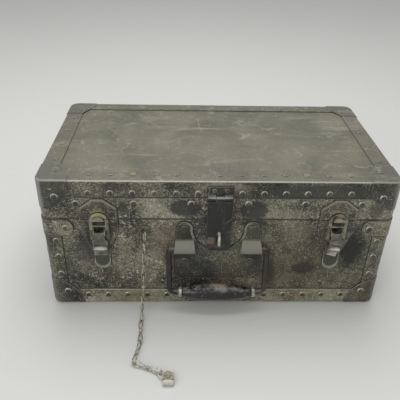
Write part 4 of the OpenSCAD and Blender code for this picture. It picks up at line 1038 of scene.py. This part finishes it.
@dataclass(frozen=True)
class View:
    """The photograph's viewpoint: its place, its angles in degrees and its focal length in pixels.

    The camera is right of the chest's middle and stands off from its front. The picture's width, image, is in
    pixels, and the sensor's is in millimetres.
    """

    right: float = -0.0458
    standoff: float = 0.5348
    height: float = 0.5072
    pitch: float = 31.994
    yaw: float = 2.195
    roll: float = 1.485
    focal: float = 507.28
    image: float = 400.0
    sensor: float = 36.0
    nearest: float = 0.01
    farthest: float = 50.0

    def build(self, front_y: float) -> None:
        """Makes the camera.

        Args:
            front_y: depth of the chest's front, which the camera stands off from.
        """
        pitch, yaw, roll = (math.radians(a) for a in (self.pitch, self.yaw, self.roll))
        forward = Vector((math.sin(yaw) * math.cos(pitch), math.cos(yaw) * math.cos(pitch), -math.sin(pitch)))
        level = Vector((math.cos(yaw), -math.sin(yaw), 0))
        upright = level.cross(forward)
        right = math.cos(roll) * level + math.sin(roll) * upright
        up = -math.sin(roll) * level + math.cos(roll) * upright
        turn = Matrix((right, up, -forward)).transposed()
        data = bpy.data.cameras.new("camera")
        data.sensor_width = self.sensor
        data.lens = self.focal * self.sensor / self.image
        data.clip_start, data.clip_end = self.nearest, self.farthest
        camera = bpy.data.objects.new("camera", data)
        place = (self.right, front_y - self.standoff, self.height)
        camera.matrix_world = Matrix.Translation(place) @ turn.to_4x4()
        bpy.context.scene.collection.objects.link(camera)
        bpy.context.scene.camera = camera


@dataclass(frozen=True)
class Lamp:
    """A soft square lamp of so many watts that is aimed at the chest's middle."""

    name: str
    place: Point
    side: float
    power: float
    aim: Point = (0.0, 0.0, 0.1)

    def build(self) -> None:
        """Makes the lamp."""
        data = bpy.data.lights.new(self.name, "AREA")
        data.size, data.energy = self.side, self.power
        made = bpy.data.objects.new(self.name, data)
        made.location = self.place
        made.rotation_euler = (Vector(self.aim) - Vector(self.place)).to_track_quat("-Z", "Y").to_euler()
        bpy.context.scene.collection.objects.link(made)


@dataclass(frozen=True)
class Studio:
    """A pale floor, soft lamps and an even world light."""

    floor_size: float = 6.0
    floor_color: Color = (0.62, 0.62, 0.60)
    floor_roughness: float = 0.7
    lamps: tuple[Lamp, ...] = (Lamp("overhead", (0.0, 0.35, 1.6), 1.2, 16.0),
                               Lamp("front_left", (-1.0, -1.4, 0.9), 0.9, 9.0))
    world_color: Color = (1.0, 1.0, 1.0)
    world_strength: float = 0.55

    def floor(self) -> None:
        """Makes the floor."""
        material, net, shader = new_material("floor")
        net.feed(shader.inputs["Base Color"], self.floor_color)
        net.feed(shader.inputs["Roughness"], self.floor_roughness)
        points = np.array([[-1, -1, 0], [1, -1, 0], [1, 1, 0], [-1, 1, 0]]) * self.floor_size / 2
        made = mesh_object("floor", points, np.array([[0, 1, 2, 3]]), material)

    def build(self) -> None:
        """Makes the floor, the lamps and the world, and sets the plain view transform."""
        self.floor()
        for lamp in self.lamps:
            lamp.build()
        world = bpy.data.worlds.new("world")
        world.use_nodes = True
        background = world.node_tree.nodes["Background"]
        background.inputs["Color"].default_value = (*self.world_color, 1)
        background.inputs["Strength"].default_value = self.world_strength
        bpy.context.scene.world = world
        bpy.context.scene.view_settings.view_transform = "Standard"


def main() -> None:
    """Builds the camera, the sub-assemblies and the stage, in order."""
    View().build(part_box("bottom_cap_front_left")[0][1])
    Effects().build()
    for part in (Case(), Lid(), Catches(), Hasp(), Handle(), Chain()):
        part.build()
        log.info("built %s", type(part).__name__)
    Studio().build()


if __name__ == "__main__":
    main()
